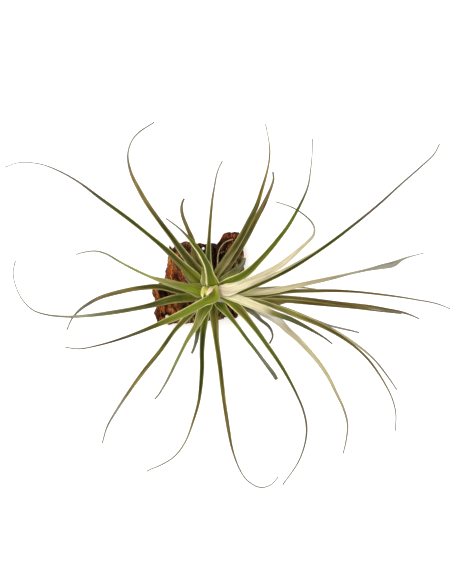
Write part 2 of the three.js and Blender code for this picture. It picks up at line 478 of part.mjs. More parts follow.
function barkBlock() {
  const rim = barkRim();
  const [centreX, centreY] = BARK_CENTRE;
  const positions = [centreX, centreY, barkFaceZ(centreX, centreY)];
  for (const reach of BARK_RINGS) {
    for (const { x, y } of rim) {
      const px = centreX + (x - centreX) * reach;
      const py = centreY + (y - centreY) * reach;
      positions.push(px, py, barkFaceZ(px, py));
    }
  }
  rim.forEach(({ x, y }, i) => {
    const ragged = BARK_RIM_RAGGEDNESS * Math.sin(i * BARK_RIM_RHYTHM);
    positions.push(x, y, barkFaceZ(x, y) - BARK_RIM_DROP + ragged);
  });
  for (const { x, y } of rim) {
    const backX = centreX + (x - centreX) * BARK_BACK_INSET;
    const backY = centreY + (y - centreY) * BARK_BACK_INSET;
    positions.push(backX, backY, 0);
  }
  positions.push(centreX, centreY, 0);

  const rings = BARK_RINGS.length + 2;
  const foot = 1 + rings * BARK_SIDES;
  const indices = [];
  for (let i = 0; i < BARK_SIDES; i++) {
    const next = (i + 1) % BARK_SIDES;
    indices.push(0, 1 + i, 1 + next);
    for (let ring = 0; ring < rings - 1; ring++) {
      const near = 1 + ring * BARK_SIDES;
      const far = near + BARK_SIDES;
      indices.push(near + i, far + i, far + next, near + i, far + next, near + next);
    }
    const base = 1 + (rings - 1) * BARK_SIDES;
    indices.push(foot, base + next, base + i);
  }
  const geometry = new THREE.BufferGeometry();
  geometry.setAttribute("position", new THREE.Float32BufferAttribute(positions, 3));
  geometry.setIndex(indices);
  return geometry;
}

function pinHole({ at: [x, y], radius }) {
  const bore = radius + PIN_CLEARANCE;
  const hole = new THREE.CylinderGeometry(bore, bore, DRILL_LENGTH, PIN_SIDES);
  hole.rotateX(Math.PI / 2);
  hole.translate(x, y, barkFaceZ(x, y) - PIN_DEPTH + DRILL_LENGTH / 2);
  return solidOf(hole);
}

function barkMesh() {
  let solid = solidOf(barkBlock());
  for (const pin of PINS) solid = solid.subtract(pinHole(pin));
  return namedMesh("bark", geometryOf(solid), "bark");
}

function pinMesh({ name, at: [x, y], radius, proud }) {
  const foot = barkFaceZ(x, y) - PIN_DEPTH + PIN_CLEARANCE;
  const top = barkFaceZ(x, y) + proud;
  const shoulder = [radius * PIN_SHOULDER, top - radius / 6];
  const profile = [[0, foot], [radius, foot], [radius, top - radius / 2], shoulder, [0, top]]
    .map(([r, z]) => new THREE.Vector2(r, z));
  const geometry = new THREE.LatheGeometry(profile, PIN_SIDES);
  geometry.rotateX(Math.PI / 2);
  geometry.translate(x, y, 0);
  return namedMesh(name, geometry, "pin");
}

function rootMesh({ name, route }) {
  const points = route.map(([x, y]) => {
    const under = [[0, 0], [1, 0], [-1, 0], [0, 1], [0, -1]].map(
      ([dx, dy]) => barkFaceZ(x + dx * ROOT_CLEARANCE, y + dy * ROOT_CLEARANCE),
    );
    return new THREE.Vector3(x, y, Math.max(...under) + ROOT_RADIUS + ROOT_CLEARANCE);
  });
  const section = new THREE.Shape();
  section.absarc(0, 0, ROOT_RADIUS, 0, 2 * Math.PI);
  const geometry = new THREE.ExtrudeGeometry(section, {
    steps: route.length * ROOT_STEPS_PER_CONTROL,
    curveSegments: ROOT_SIDES / 2,
    extrudePath: new THREE.CatmullRomCurve3(points, false, "centripetal"),
  });
  return namedMesh(name, geometry, "root");
}

const plant = new THREE.Group();
plant.add(barkMesh());
for (const pin of PINS) plant.add(pinMesh(pin));
for (const root of ROOTS) plant.add(rootMesh(root));
plant.add(stemMesh());
for (const leaf of LEAVES) plant.add(leafMesh(leaf));
for (const leaf of HEART_LEAVES) plant.add(heartLeafMesh(leaf));

export default plant;
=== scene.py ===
"""Air plant on a chip of bark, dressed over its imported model. Metres, +Z up.

The chip lies on its flat back at z = 0 and the rosette opens upwards round the Z axis.
"""

import logging
import math
from dataclasses import dataclass, field
from enum import Enum
from typing import Any

import bpy
import numpy as np
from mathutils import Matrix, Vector, noise

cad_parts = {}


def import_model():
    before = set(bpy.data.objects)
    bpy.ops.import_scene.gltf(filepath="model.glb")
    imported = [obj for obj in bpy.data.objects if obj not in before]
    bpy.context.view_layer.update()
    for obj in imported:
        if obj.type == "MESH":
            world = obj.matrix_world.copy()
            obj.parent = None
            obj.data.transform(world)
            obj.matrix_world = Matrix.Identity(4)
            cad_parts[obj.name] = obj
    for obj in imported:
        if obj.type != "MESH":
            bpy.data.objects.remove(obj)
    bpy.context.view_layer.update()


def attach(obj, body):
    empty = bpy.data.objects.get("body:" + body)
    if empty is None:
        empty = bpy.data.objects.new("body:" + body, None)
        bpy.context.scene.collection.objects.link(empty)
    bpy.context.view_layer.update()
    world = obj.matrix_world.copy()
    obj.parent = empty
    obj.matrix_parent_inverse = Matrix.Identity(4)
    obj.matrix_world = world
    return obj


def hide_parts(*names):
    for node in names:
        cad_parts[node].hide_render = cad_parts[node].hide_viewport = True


log = logging.getLogger("air_plant")

Tree = bpy.types.NodeTree
Node = bpy.types.Node
Piece = bpy.types.Object
Material = bpy.types.Material

MM = 0.001
BODY = "root"
PHOTO_WIDTH = 452
PHOTO_HEIGHT = 584
GOLDEN_ANGLE = math.radians(137.5)

# Seeds of the leaves' noise, and how sharp the ridges of the bark's plates are
SEED_STEP = 7.3
HEART_SEED = 90.0
HEART_SEED_STEP = 3.1
RIDGE_OFFSET = 0.9
RIDGE_GAIN = 2.0

# Half-height of a patch of tone on the bark, in mm: it shows at every height
PATCH_HEIGHT = 1e4


# Tones


class Tone(Enum):
    """Colours seen on the plant and the bark, as sRGB."""

    DEEP_GREEN = "#2b3503"
    DARK_GREEN = "#3b4508"
    MOSS = "#535d10"
    GRASS = "#667512"
    FRESH = "#76831a"
    LIME = "#858b18"
    YELLOW_GREEN = "#aaa838"
    GREY_GREEN = "#7f824c"
    SILVER_GREEN = "#969868"
    OLIVE = "#685f1c"
    DARK_OLIVE = "#47430c"
    KHAKI = "#82763c"
    DRAB = "#6f6232"
    UMBER = "#513d14"
    TAUPE = "#96896a"
    TAN = "#b3a683"
    SAND = "#c9bd95"
    CREAM = "#dcd2a8"
    IVORY = "#ece2bd"
    ASH = "#7a785c"
    SMOKE = "#6a6955"
    MIST = "#a19f8c"
    FROST = "#f2f6ff"
    PALE_LIME = "#dedf90"
    LILAC = "#cbbfc0"
    BLUSH = "#e9cfb0"
    LEMON = "#c9c75a"
    PALE_BUTTER = "#f1ecae"
    PINE = "#464b1a"
    HAY = "#a39a5e"
    OAT = "#c2b796"
    STRAW = "#b2aa7e"
    PLUM = "#5f5248"
    CHALK = "#fbf9f0"
    STONE = "#8d8a78"
    BRONZE = "#7a6a3e"
    PLUM_GREY = "#757061"
    PEAT = "#4c4432"


def linear(code: str) -> tuple[float, float, float, float]:
    """A colour in linear light.

    Args:
        code: sRGB colour as a hex string with a leading hash.

    Returns:
        Red, green, blue and alpha, from 0 to 1.
    """
    channels = [int(code[i : i + 2], 16) / 255 for i in (1, 3, 5)]
    rgb = [c / 12.92 if c <= 0.04045 else ((c + 0.055) / 1.055) ** 2.4 for c in channels]
    return (rgb[0], rgb[1], rgb[2], 1.0)


def add_node(tree: Tree, kind: str, settings: dict[Any, Any] | None = None,
             links: dict[Any, Any] | None = None) -> Node:
    """Adds one node with its settings and links.

    Args:
        tree: shader or geometry tree.
        kind: Blender's name of the node type.
        settings: values by property name or input number or name; "stops" are the colours of
            a ramp, as pairs of place and colour.
        links: output sockets by the input that they feed.

    Returns:
        The new node.
    """
    node = tree.nodes.new(kind)
    for key, value in (settings or {}).items():
        if key == "stops":
            ramp = node.color_ramp
            while len(ramp.elements) < len(value):
                ramp.elements.new(0.5)
            for element, (place, colour) in zip(ramp.elements, value):
                element.position = place
                element.color = colour
        elif isinstance(key, str) and hasattr(node, key):
            setattr(node, key, value)
        else:
            node.inputs[key].default_value = value
    for key, socket in (links or {}).items():
        tree.links.new(socket, node.inputs[key])
    return node


def calc(tree: Tree, operation: str, *terms: Any,
         kind: str = "ShaderNodeMath") -> Any:
    """Adds a math node.

    Args:
        tree: shader or geometry tree.
        operation: what it works out.
        *terms: a number, a vector or a socket for each input in order.
        kind: Blender's name of the node type.

    Returns:
        Socket of the result.
    """
    sockets = {i: t for i, t in enumerate(terms) if isinstance(t, bpy.types.NodeSocket)}
    numbers = {i: t for i, t in enumerate(terms) if i not in sockets}
    return add_node(tree, kind, {"operation": operation, **numbers}, sockets).outputs[0]


def calc_vector(tree: Tree, operation: str, *terms: Any) -> Any:
    """Adds a vector math node and returns its vector."""
    return calc(tree, operation, *terms, kind="ShaderNodeVectorMath")


def scaled(tree: Tree, vector: Any, factor: Any) -> Any:
    """Socket of a vector or colour times a number, which is given or read from a socket."""
    given = {"Scale": factor}
    fixed, linked = ({}, given) if isinstance(factor, bpy.types.NodeSocket) else (given, {})
    return add_node(tree, "ShaderNodeVectorMath", {"operation": "SCALE", **fixed},
                    {0: vector, **linked}).outputs[0]


def length_of(tree: Tree, vector: Any) -> Any:
    """Socket of a vector's length."""
    return add_node(tree, "ShaderNodeVectorMath", {"operation": "LENGTH"},
                    {0: vector}).outputs["Value"]


def remap(tree: Tree, value: Any, low: float, high: float, to_low: float = 0.0,
          to_high: float = 1.0) -> Any:
    """Moves a value from one range to another and keeps it inside.

    Args:
        tree: shader tree.
        value: socket of the value.
        low: value that becomes to_low; it may be the higher one.
        high: value that becomes to_high.
        to_low: one end of the new range.
        to_high: its other end.

    Returns:
        Socket of the result.
    """
    return add_node(tree, "ShaderNodeMapRange", {1: low, 2: high, 3: to_low, 4: to_high},
                    {0: value}).outputs[0]


def cover(tree: Tree, under: Any, over: tuple[float, ...], share: Any) -> Any:
    """Socket of a colour with a fixed colour laid over a share of it."""
    return add_node(tree, "ShaderNodeMix", {"data_type": "RGBA", 7: over},
                    {0: share, 6: under}).outputs[2]


def mottle(tree: Tree, place: Any, scale: float, detail: float,
           roughness: float = 0.5, distortion: float = 0.0) -> Any:
    """Adds a noise.

    Args:
        tree: shader or geometry tree.
        place: socket of where it is read, or None for the point's own place.
        scale: how many blots it has to a unit.
        detail: how many finer layers it has.
        roughness: how strong those are.
        distortion: how far it is pulled out of shape.

    Returns:
        Socket of its value.
    """
    return add_node(tree, "ShaderNodeTexNoise",
                    {"Scale": scale, "Detail": detail, "Roughness": roughness,
                     "Distortion": distortion},
                    {"Vector": place} if place else {}).outputs["Fac"]


def attribute(tree: Tree, name: str) -> Any:
    """Socket of a mesh attribute in a material."""
    return add_node(tree, "ShaderNodeAttribute", {"attribute_name": name}).outputs["Fac"]


def set_inputs(node: Node, values: dict[str, Any]) -> None:
    """Sets a node's inputs by name."""
    for name, value in values.items():
        node.inputs[name].default_value = value


def surface(tree: Tree, shader: Node, colour: Any, height: Any,
            bump: tuple[float, float]) -> None:
    """Feeds a shader its colour and its fine relief.

    Args:
        tree: the material's tree.
        shader: its shader node.
        colour: socket of the colour.
        height: socket of the relief.
        bump: the relief's strength, and its depth in mm.
    """
    strength, depth = bump
    relief = add_node(tree, "ShaderNodeBump", {"Strength": strength, "Distance": depth * MM},
                      {"Height": height})
    tree.links.new(colour, shader.inputs["Base Color"])
    tree.links.new(relief.outputs[0], shader.inputs["Normal"])


def new_material(name: str) -> tuple[Material, Tree, Node]:
    """A material with an empty tree and a Principled shader on its output.

    Args:
        name: the material's name.

    Returns:
        The material, its tree and its shader node.
    """
    material = bpy.data.materials.new(name)
    material.use_nodes = True
    tree = material.node_tree
    tree.nodes.clear()
    shader = add_node(tree, "ShaderNodeBsdfPrincipled")
    add_node(tree, "ShaderNodeOutputMaterial", links={"Surface": shader.outputs["BSDF"]})
    return material, tree, shader


# Finishes, each named for the real material


class Coat(Enum):
    """Tones from base to tip, one row for each kind of leaf on the plant."""

    GREEN = ((0, Tone.YELLOW_GREEN), (0.07, Tone.LIME), (0.15, Tone.OLIVE),
             (0.25, Tone.DARK_GREEN), (0.5, Tone.DARK_GREEN), (0.65, Tone.PLUM), (1, Tone.SMOKE))
    FRESH = ((0, Tone.LIME), (0.12, Tone.GRASS), (0.25, Tone.MOSS), (0.6, Tone.MOSS),
             (0.75, Tone.SMOKE), (1, Tone.SMOKE))
    DARK = ((0, Tone.LIME), (0.12, Tone.FRESH), (0.2, Tone.DEEP_GREEN), (0.45, Tone.DEEP_GREEN),
            (0.6, Tone.DRAB), (0.8, Tone.ASH), (1, Tone.SMOKE))
    GOING_BROWN = ((0, Tone.YELLOW_GREEN), (0.12, Tone.OLIVE), (0.24, Tone.DARK_GREEN),
                   (0.35, Tone.DARK_OLIVE), (0.48, Tone.DRAB), (0.65, Tone.BRONZE),
                   (0.8, Tone.PLUM_GREY), (1, Tone.SMOKE))
    BROWN = ((0, Tone.SAND), (0.12, Tone.HAY), (0.22, Tone.DRAB), (0.35, Tone.KHAKI),
             (0.5, Tone.UMBER), (0.75, Tone.DRAB), (1, Tone.PLUM))
    STRIPED = ((0, Tone.YELLOW_GREEN), (0.14, Tone.HAY), (0.26, Tone.DARK_OLIVE),
               (0.45, Tone.PINE), (0.6, Tone.OLIVE), (0.8, Tone.BRONZE), (1, Tone.SMOKE))
    SILVER = ((0, Tone.LIME), (0.12, Tone.FRESH), (0.25, Tone.HAY), (0.45, Tone.GREY_GREEN),
              (0.6, Tone.GREY_GREEN), (0.8, Tone.ASH), (1, Tone.SMOKE))
    GREY = ((0, Tone.LIME), (0.14, Tone.DARK_GREEN), (0.3, Tone.PEAT), (0.42, Tone.SMOKE),
            (0.55, Tone.STONE), (0.7, Tone.SMOKE), (1, Tone.PEAT))
    CREAM = ((0, Tone.BLUSH), (0.12, Tone.IVORY), (0.22, Tone.OAT), (0.6, Tone.OAT),
             (0.7, Tone.STONE), (0.8, Tone.PEAT), (1, Tone.PLUM_GREY))
    CREAM_THEN_GREEN = ((0, Tone.IVORY), (0.22, Tone.CREAM), (0.4, Tone.SAND),
                        (0.48, Tone.OLIVE), (0.58, Tone.DARK_GREEN), (0.8, Tone.DARK_OLIVE),
                        (1, Tone.PLUM))
    CREAM_THEN_TAN = ((0, Tone.CREAM), (0.2, Tone.CHALK), (0.28, Tone.CHALK), (0.34, Tone.OAT),
                      (0.6, Tone.STRAW), (0.8, Tone.TAUPE), (1, Tone.PLUM))
    TAN = ((0, Tone.SAND), (0.12, Tone.IVORY), (0.3, Tone.SAND), (0.5, Tone.TAUPE),
           (0.75, Tone.STONE), (1, Tone.STONE))
    HIDDEN = ((0, Tone.TAN), (0.2, Tone.DRAB), (0.4, Tone.DARK_OLIVE), (0.6, Tone.OAT),
              (0.8, Tone.STONE), (1, Tone.PLUM))
    YOUNG = ((0, Tone.LEMON), (0.07, Tone.LIME), (0.12, Tone.FRESH), (0.3, Tone.FRESH),
             (0.45, Tone.DARK_OLIVE), (0.65, Tone.PEAT), (0.8, Tone.UMBER), (1, Tone.PLUM_GREY))
    YOUNGEST = ((0, Tone.PALE_LIME), (0.3, Tone.YELLOW_GREEN), (0.7, Tone.LIME),
                (1, Tone.DARK_OLIVE))
    CRESCENT = ((0, Tone.YELLOW_GREEN), (0.4, Tone.LEMON), (0.55, Tone.BLUSH),
                (0.75, Tone.LEMON), (1, Tone.PALE_LIME))
    STRIPE = ((0, Tone.LEMON), (0.4, Tone.PALE_LIME), (0.6, Tone.BLUSH), (0.9, Tone.BLUSH),
              (1, Tone.PALE_LIME))
    INNER = ((0, Tone.YELLOW_GREEN), (0.6, Tone.YELLOW_GREEN), (1, Tone.LEMON))


@dataclass(frozen=True)
class Margin:
    """A pale band along one edge of a blade: the blade's own pale edge, with painted highlight
    where the raised edge catches the light.

    Attributes:
        width: its width at the root, in mm.
        reach: where it has thinned to nothing, as a share of the blade's length.
        tone: its tone.
        strength: how much of the tissue it covers.
        start: where it begins, as a share of the blade's length.
    """

    width: float = 0.35
    reach: float = 0.7
    tone: Tone = Tone.SAND
    strength: float = 0.75
    start: float = 0.0


# Mesh attributes that a blade's material reads
BLADE_READS = ("along", "offset", "edge", "reach", "across")

# Margins, in mm: a margin ends at less than no width, so that it leaves a thin tip free
MARGIN_END = -0.2
MARGIN_RAGGED = 0.24
MARGIN_SOFT = (-0.06, 0.16)
MIDDLE_SOFT = (-0.05, 0.1)
MARGIN_START_SOFT = (0.03, 0.02)

# Where flush and shade lie across a blade, from 0 in the middle to 1 at the edge, and how they
# fade along it: from, to, strength at first and strength at last
OUTER_THIRD = (0.3, 0.75)
SHADED_HALF = (-0.2, 0.3)
SHADED_VALLEY = (0.65, 0.15)
FLUSH_FADE = (0.35, 0.6, 1.0, 0.1)
SHADE_FADE = (0.1, 0.8, 1.0, 0.25)

# Parts of the noises' range that the fine lines, the scales and the roughness take up
LINE_RANGE = (0.34, 0.68)
SCALE_RANGE = (0.5, 0.72)
ROUGH_RANGE = (0.3, 0.7)
LINE_ROUGHNESS = (0.08, 0.14)
SCALE_HEIGHT = 0.3
WAX_IOR = 1.42


@dataclass(frozen=True)
class BladeSkin:
    """Leaf skin: living tissue under dry, see-through scales, which give it a soft grey bloom.

    Attributes:
        coat: tones along the blade.
        left: margin on the left of the way the blade grows.
        right: margin on the right.
        rim: fine line along both edges, under the margins.
        line_depth: how much the fine lines along the blade lighten and darken it.
        shade: tone of the painted shade in the channel's valley, or on one half.
        shade_side: -1 right half, 0 middle, 1 left half.
        shade_strength: how much of the shade tone covers the blade's own.
        flush: tone laid over the outer thirds on both sides of the valley, most near the root.
        flush_strength: how much of the flush shows.
        vein_spacing: distance between the fine lines along the blade, in mm.
        vein_pace: how fast a line changes along the blade, for each mm.
        tone_wander: how far a tone's border strays from line to line, as a share of the length.
        scale_size: spacing of the scales in mm, coarser than the real 0.1 mm so that it shows.
        scale_cover: how much the pale scales cover the tissue.
        roughness: roughness between the fine lines.
        sheen: strength of the mirror light on the waxy skin.
        bump: strength and depth in mm of the lines and scales.
        studio_light: light that the studio throws on the plant, which the tones leave out.
    """

    coat: Coat
    left: Margin = Margin()
    right: Margin = Margin()
    rim: Margin = Margin(0.38, 0.95, Tone.PALE_LIME, 0.7)
    line_depth: float = 0.45
    shade: Tone = Tone.DARK_GREEN
    shade_side: int = 0
    shade_strength: float = 0.6
    flush: Tone = Tone.KHAKI
    flush_strength: float = 0.5
    vein_spacing: float = 0.6
    vein_pace: float = 0.09
    tone_wander: float = 0.12
    scale_size: float = 0.35
    scale_cover: float = 0.03
    roughness: float = 0.55
    sheen: float = 0.1
    bump: tuple[float, float] = (0.5, 0.12)
    studio_light: float = 1.13

    def albedo(self, tone: Tone) -> tuple[float, ...]:
        """A tone as seen under the studio's light, less that light."""
        return (*(channel / self.studio_light for channel in linear(tone.value)[:3]), 1.0)

    def margin_mask(self, tree: Tree, margin: Margin, side: int,
                    reads: dict[str, Any]) -> Any:
        """Socket that is 1 on one pale margin and 0 off it.

        Args:
            tree: the material's tree.
            margin: the band.
            side: 1 for the left edge, -1 for the right.
            reads: sockets with the blade's own coordinates.

        Returns:
            The mask's socket.
        """
        width = remap(tree, reads["along"], 0.0, margin.reach, margin.width, MARGIN_END)
        ragged = calc(tree, "MULTIPLY_ADD", reads["streak"], MARGIN_RAGGED, -MARGIN_RAGGED / 2)
        inside = calc(tree, "SUBTRACT", width, calc(tree, "ADD", reads["edge"], ragged))
        soft = remap(tree, inside, *MARGIN_SOFT, 0.0, margin.strength)
        lean = calc(tree, "MULTIPLY", reads["offset"], float(side))
        sided = calc(tree, "MULTIPLY", soft, remap(tree, lean, *MIDDLE_SOFT))
        before, past = MARGIN_START_SOFT
        begun = remap(tree, reads["along"], margin.start - before, margin.start + past)
        return calc(tree, "MULTIPLY", sided, begun)

    def material(self, name: str, seed: float) -> Material:
        """The blade's material.

        Args:
            name: the leaf's name.
            seed: shifts the noise, so that no two leaves are alike.

        Returns:
            The material.
        """
        material, tree, shader = new_material(f"leaf skin {name}")
        reads = {key: attribute(tree, key) for key in BLADE_READS}
        strip = add_node(tree, "ShaderNodeCombineXYZ", {2: seed}, {
            0: calc(tree, "MULTIPLY", reads["reach"], self.vein_pace),
            1: calc(tree, "MULTIPLY", reads["offset"], 1 / self.vein_spacing)})
        streak = mottle(tree, strip.outputs[0], 1.0, 3.0, 0.6)
        reads["streak"] = streak
        wander = calc(tree, "MULTIPLY_ADD", streak, self.tone_wander, -self.tone_wander / 2)
        ramp = add_node(tree, "ShaderNodeValToRGB",
                        {"stops": [(at, self.albedo(tone)) for at, tone in self.coat.value]},
                        {0: calc(tree, "ADD", reads["along"], wander)})

        spread = calc(tree, "ABSOLUTE", reads["across"])
        outer = calc(tree, "MULTIPLY",
                     remap(tree, spread, *OUTER_THIRD, 0.0, self.flush_strength),
                     remap(tree, reads["along"], *FLUSH_FADE))
        colour = cover(tree, ramp.outputs[0], self.albedo(self.flush), outer)
        # Painted shade: the channel's valley, or one half of the blade, darkens towards the shade
        # tone, less towards the tip
        if self.shade_side:
            side = calc(tree, "MULTIPLY", reads["across"], float(self.shade_side))
            valley = remap(tree, side, *SHADED_HALF, 0.0, self.shade_strength)
        else:
            valley = remap(tree, spread, *SHADED_VALLEY, 0.0, self.shade_strength)
        amount = calc(tree, "MULTIPLY", valley, remap(tree, reads["along"], *SHADE_FADE))
        colour = cover(tree, colour, self.albedo(self.shade), amount)
        for margin, side_sign in ((self.rim, 1), (self.rim, -1), (self.left, 1),
                                  (self.right, -1)):
            mask = self.margin_mask(tree, margin, side_sign, reads)
            colour = cover(tree, colour, self.albedo(margin.tone), mask)

        lines = remap(tree, streak, *LINE_RANGE, 1 - self.line_depth, 1 + self.line_depth)
        place = add_node(tree, "ShaderNodeTexCoord").outputs["Object"]
        scales = mottle(tree, place, 1 / (self.scale_size * MM), 2.0, 0.7)
        pale_share = remap(tree, scales, *SCALE_RANGE, 0.0, self.scale_cover * 2)
        paled = cover(tree, scaled(tree, colour, lines), linear(Tone.MIST.value), pale_share)
        ridges = calc(tree, "MULTIPLY_ADD", scales, SCALE_HEIGHT, streak)
        surface(tree, shader, paled, ridges, self.bump)
        smoother, rougher = LINE_ROUGHNESS
        rough = remap(tree, streak, *ROUGH_RANGE, self.roughness - smoother,
                      self.roughness + rougher)
        tree.links.new(rough, shader.inputs["Roughness"])
        set_inputs(shader, {"IOR": WAX_IOR, "Specular IOR Level": self.sheen})
        return material


@dataclass(frozen=True)
class Patch:
    """A patch of one tone on the bark: its centre and half-sizes in mm, from above."""

    centre: tuple[float, float]
    half_size: tuple[float, float]
    tone: str
    strength: float = 1.0


@dataclass(frozen=True)
class BarkSkin:
    """Old pine bark: rust-red cork in flakes, split along the grain, with painted shade in its
    hollows.

    Attributes:
        ground: tone between the patches.
        deep: tone of the dark blots, and of the painted shade in the hollows.
        crest: tone of the crests, partly rubbed pale and partly painted highlight.
        fibre_width: width of the fibres in mm.
        fibre_length: their length in mm.
        grain_turn: turn of the grain in degrees.
        fleck_size: size of the flecks in mm.
        fleck_share: weight of the flecks against the fibres.
        blots: blots of dark to a mm.
        furrows: dark furrows to a fibre's width.
        patch_ragged: how far a patch's border strays, as a share of its half-size.
        patch_soft: where a patch begins and is whole, as a share of its half-size.
        grain_shade: range of the fibres and flecks, and the light that it becomes.
        furrow_shade: range of the furrows, and the light that it becomes.
        wear_and_highlight: range of the fibres and flecks that is rubbed pale and painted as
            highlight, and how pale it gets.
        roughness: roughness of the dry cork.
        sheen: strength of its mirror light.
        bump: strength and depth in mm of the fine relief.
        patches: tones of single places, among them painted shade and painted highlight.
    """

    ground: str = "#7d431d"
    deep: str = "#1c0d07"
    crest: str = "#c98b58"
    fibre_width: float = 0.7
    fibre_length: float = 3.0
    grain_turn: float = -12
    fleck_size: float = 0.45
    fleck_share: float = 0.45
    blots: float = 0.4
    furrows: float = 0.36
    patch_ragged: float = 0.45
    patch_soft: tuple[float, float] = (1.15, 0.7)
    grain_shade: tuple[float, float, float, float] = (0.61, 0.86, 0.04, 2.5)
    furrow_shade: tuple[float, float, float, float] = (0.4, 0.54, 0.35, 1.18)
    wear_and_highlight: tuple[float, float, float, float] = (0.79, 0.93, 0.0, 0.9)
    roughness: float = 0.9
    sheen: float = 0.08
    bump: tuple[float, float] = (1.0, 1.1)
    patches: tuple[Patch, ...] = (
        Patch((-18, 10), (5.5, 8), "#a04e1d", 0.85),
        Patch((-17.6, 12.6), (1.5, 2.4), "#d08c55", 0.7),
        Patch((-20.4, 6.4), (1.3, 2), "#c47a42", 0.7),
        Patch((-17.2, 7.4), (1.2, 1.6), "#4a200f", 0.8),
        # Painted highlight on the upper-left edge
        Patch((-19, 17.5), (2.8, 3.4), "#a87646", 0.8),
        Patch((-13.3, 21), (4.6, 4.8), "#4c361b", 0.95),
        Patch((-20, 22), (1.2, 2), "#3c2012", 0.9),
        Patch((-27, -1.4), (2.6, 3.2), "#95522a", 0.9),
        # Painted shade in the cavity
        Patch((-22.4, -1.2), (3.2, 1.7), "#2a120a", 0.9),
        Patch((-24, -11), (6, 5), "#8c481f", 0.85),
        # Painted shade in the hollow round the lower pin
        Patch((-22.4, -12), (2.6, 1.7), "#1f0e07", 0.85),
        # Painted highlight on a raised crest
        Patch((-18.6, -7.6), (2.6, 2.4), "#a05c2c", 0.8),
        Patch((-13.6, -7.5), (3.8, 2.4), "#6a3f20", 0.85),
        Patch((-10, -13.5), (4.4, 3), "#8e6c34", 0.85),
        # Painted shade on the sunken middle under the leaves
        Patch((1.5, 17.2), (9, 7), "#2a190f", 0.95),
        Patch((10.5, 26.4), (5.2, 3.3), "#63290f", 0.95),
        Patch((11.6, 27.7), (1.7, 0.8), "#94441f", 0.8),
        # Painted shade on the lobe's lower sides, in this patch and the next
        Patch((7.8, 24.4), (2.8, 2.4), "#28120a", 0.9),
        Patch((12.5, 24), (2.2, 3), "#3a1d10", 0.8),
        Patch((13.6, 14.4), (5.2, 8.4), "#655229", 0.95),
        Patch((14.4, 11.6), (1.1, 2.2), "#a08c52", 0.8),
        Patch((12.2, 17.4), (0.9, 1.8), "#2c220f", 0.8),
        Patch((5.6, -11.2), (2.4, 3), "#4d452a", 0.9),
        Patch((12, -9.8), (2.6, 3.4), "#4a2a18", 0.85),
    )

    def material(self) -> Material:
        """The bark's material."""
        material, tree, shader = new_material("pine bark")
        place = add_node(tree, "ShaderNodeTexCoord").outputs["Object"]
        in_mm = scaled(tree, place, 1 / MM)
        blot = mottle(tree, in_mm, self.blots, 5.0, 0.65)
        along_grain = add_node(tree, "ShaderNodeMapping",
                               {"Rotation": (0.0, 0.0, math.radians(self.grain_turn)),
                                "Scale": (1 / self.fibre_width, 1 / self.fibre_length,
                                          1 / self.fibre_length)},
                               {"Vector": in_mm}).outputs[0]
        grain = mottle(tree, along_grain, 1.0, 5.0, 0.7, 0.9)
        fleck = mottle(tree, in_mm, 1 / self.fleck_size, 2.0, 0.6)
        ground = linear(self.ground)
        colour = add_node(tree, "ShaderNodeValToRGB", {"stops": [
            (0.3, linear(self.deep)), (0.5, ground), (0.7, ground)]}, {0: blot}).outputs[0]
        ragged = remap(tree, blot, 0.3, 0.7, -self.patch_ragged, self.patch_ragged)
        for patch in self.patches:
            away = add_node(tree, "ShaderNodeMapping",
                            {"vector_type": "TEXTURE", "Location": (*patch.centre, 0.0),
                             "Scale": (*patch.half_size, PATCH_HEIGHT)}, {"Vector": in_mm})
            rim = calc(tree, "ADD", length_of(tree, away.outputs[0]), ragged)
            share = remap(tree, rim, *self.patch_soft, 0.0, patch.strength)
            colour = cover(tree, colour, linear(patch.tone), share)
        both = calc(tree, "MULTIPLY_ADD", fleck, self.fleck_share, grain)
        furrow = mottle(tree, along_grain, self.furrows, 2.0, 0.6, 0.6)
        shaded = calc(tree, "MULTIPLY", remap(tree, both, *self.grain_shade),
                      remap(tree, furrow, *self.furrow_shade))
        # Painted shade: the hollows and the holes round the pins take the near-black deep tone
        sunk = cover(tree, scaled(tree, colour, shaded), linear(self.deep),
                     attribute(tree, "hollow"))
        # The crests are partly rubbed pale and partly painted highlight
        pale_share = calc(tree, "MULTIPLY", remap(tree, both, *self.wear_and_highlight), attribute(tree, "crest"))
        paled = cover(tree, sunk, linear(self.crest), pale_share)
        surface(tree, shader, paled, both, self.bump)
        set_inputs(shader, {"Roughness": self.roughness, "Specular IOR Level": self.sheen})
        return material


@dataclass(frozen=True)
class FibreSkin:
    """Dry plant fibre, as on roots and old leaf bases: matt, with fine lines along it.

    Above green_from it is living tissue: yellow-green, painted light against the heart's shade.
    """

    name: str
    pale: str
    dark: str
    line_spacing: float = 0.25
    roughness: float = 0.8
    green_from: float = 0.0
    green: Tone = Tone.LEMON
    green_soft: float = 5.0
    bump: tuple[float, float] = (0.6, 0.15)

    def material(self) -> Material:
        """The fibre's material."""
        material, tree, shader = new_material(self.name)
        place = add_node(tree, "ShaderNodeTexCoord").outputs["Object"]
        fine = mottle(tree, place, 1 / (self.line_spacing * MM * 4), 4.0, 0.65)
        colour = add_node(tree, "ShaderNodeValToRGB", {"stops": [
            (0.34, linear(self.dark)), (0.62, linear(self.pale))]}, {0: fine}).outputs[0]
        if self.green_from:
            height = add_node(tree, "ShaderNodeSeparateXYZ", {}, {0: place}).outputs[2]
            living = remap(tree, height, self.green_from * MM,
                           (self.green_from + self.green_soft) * MM)
            colour = cover(tree, colour, linear(self.green.value), living)
        surface(tree, shader, colour, fine, self.bump)
        set_inputs(shader, {"Roughness": self.roughness})
        return material


@dataclass(frozen=True)
class StudioSkin:
    """Matt seamless paper under and round the plant."""

    tone: str = "#ffffff"
    glow: float = 0.3

    def material(self) -> Material:
        """The paper's material."""
        material, _, shader = new_material("studio paper")
        tone = linear(self.tone)
        set_inputs(shader, {"Base Color": tone, "Roughness": 1.0, "Specular IOR Level": 0.0,
                            "Emission Color": tone, "Emission Strength": self.glow})
        return material


# Shapes: paths, meshes and the trees that grow them


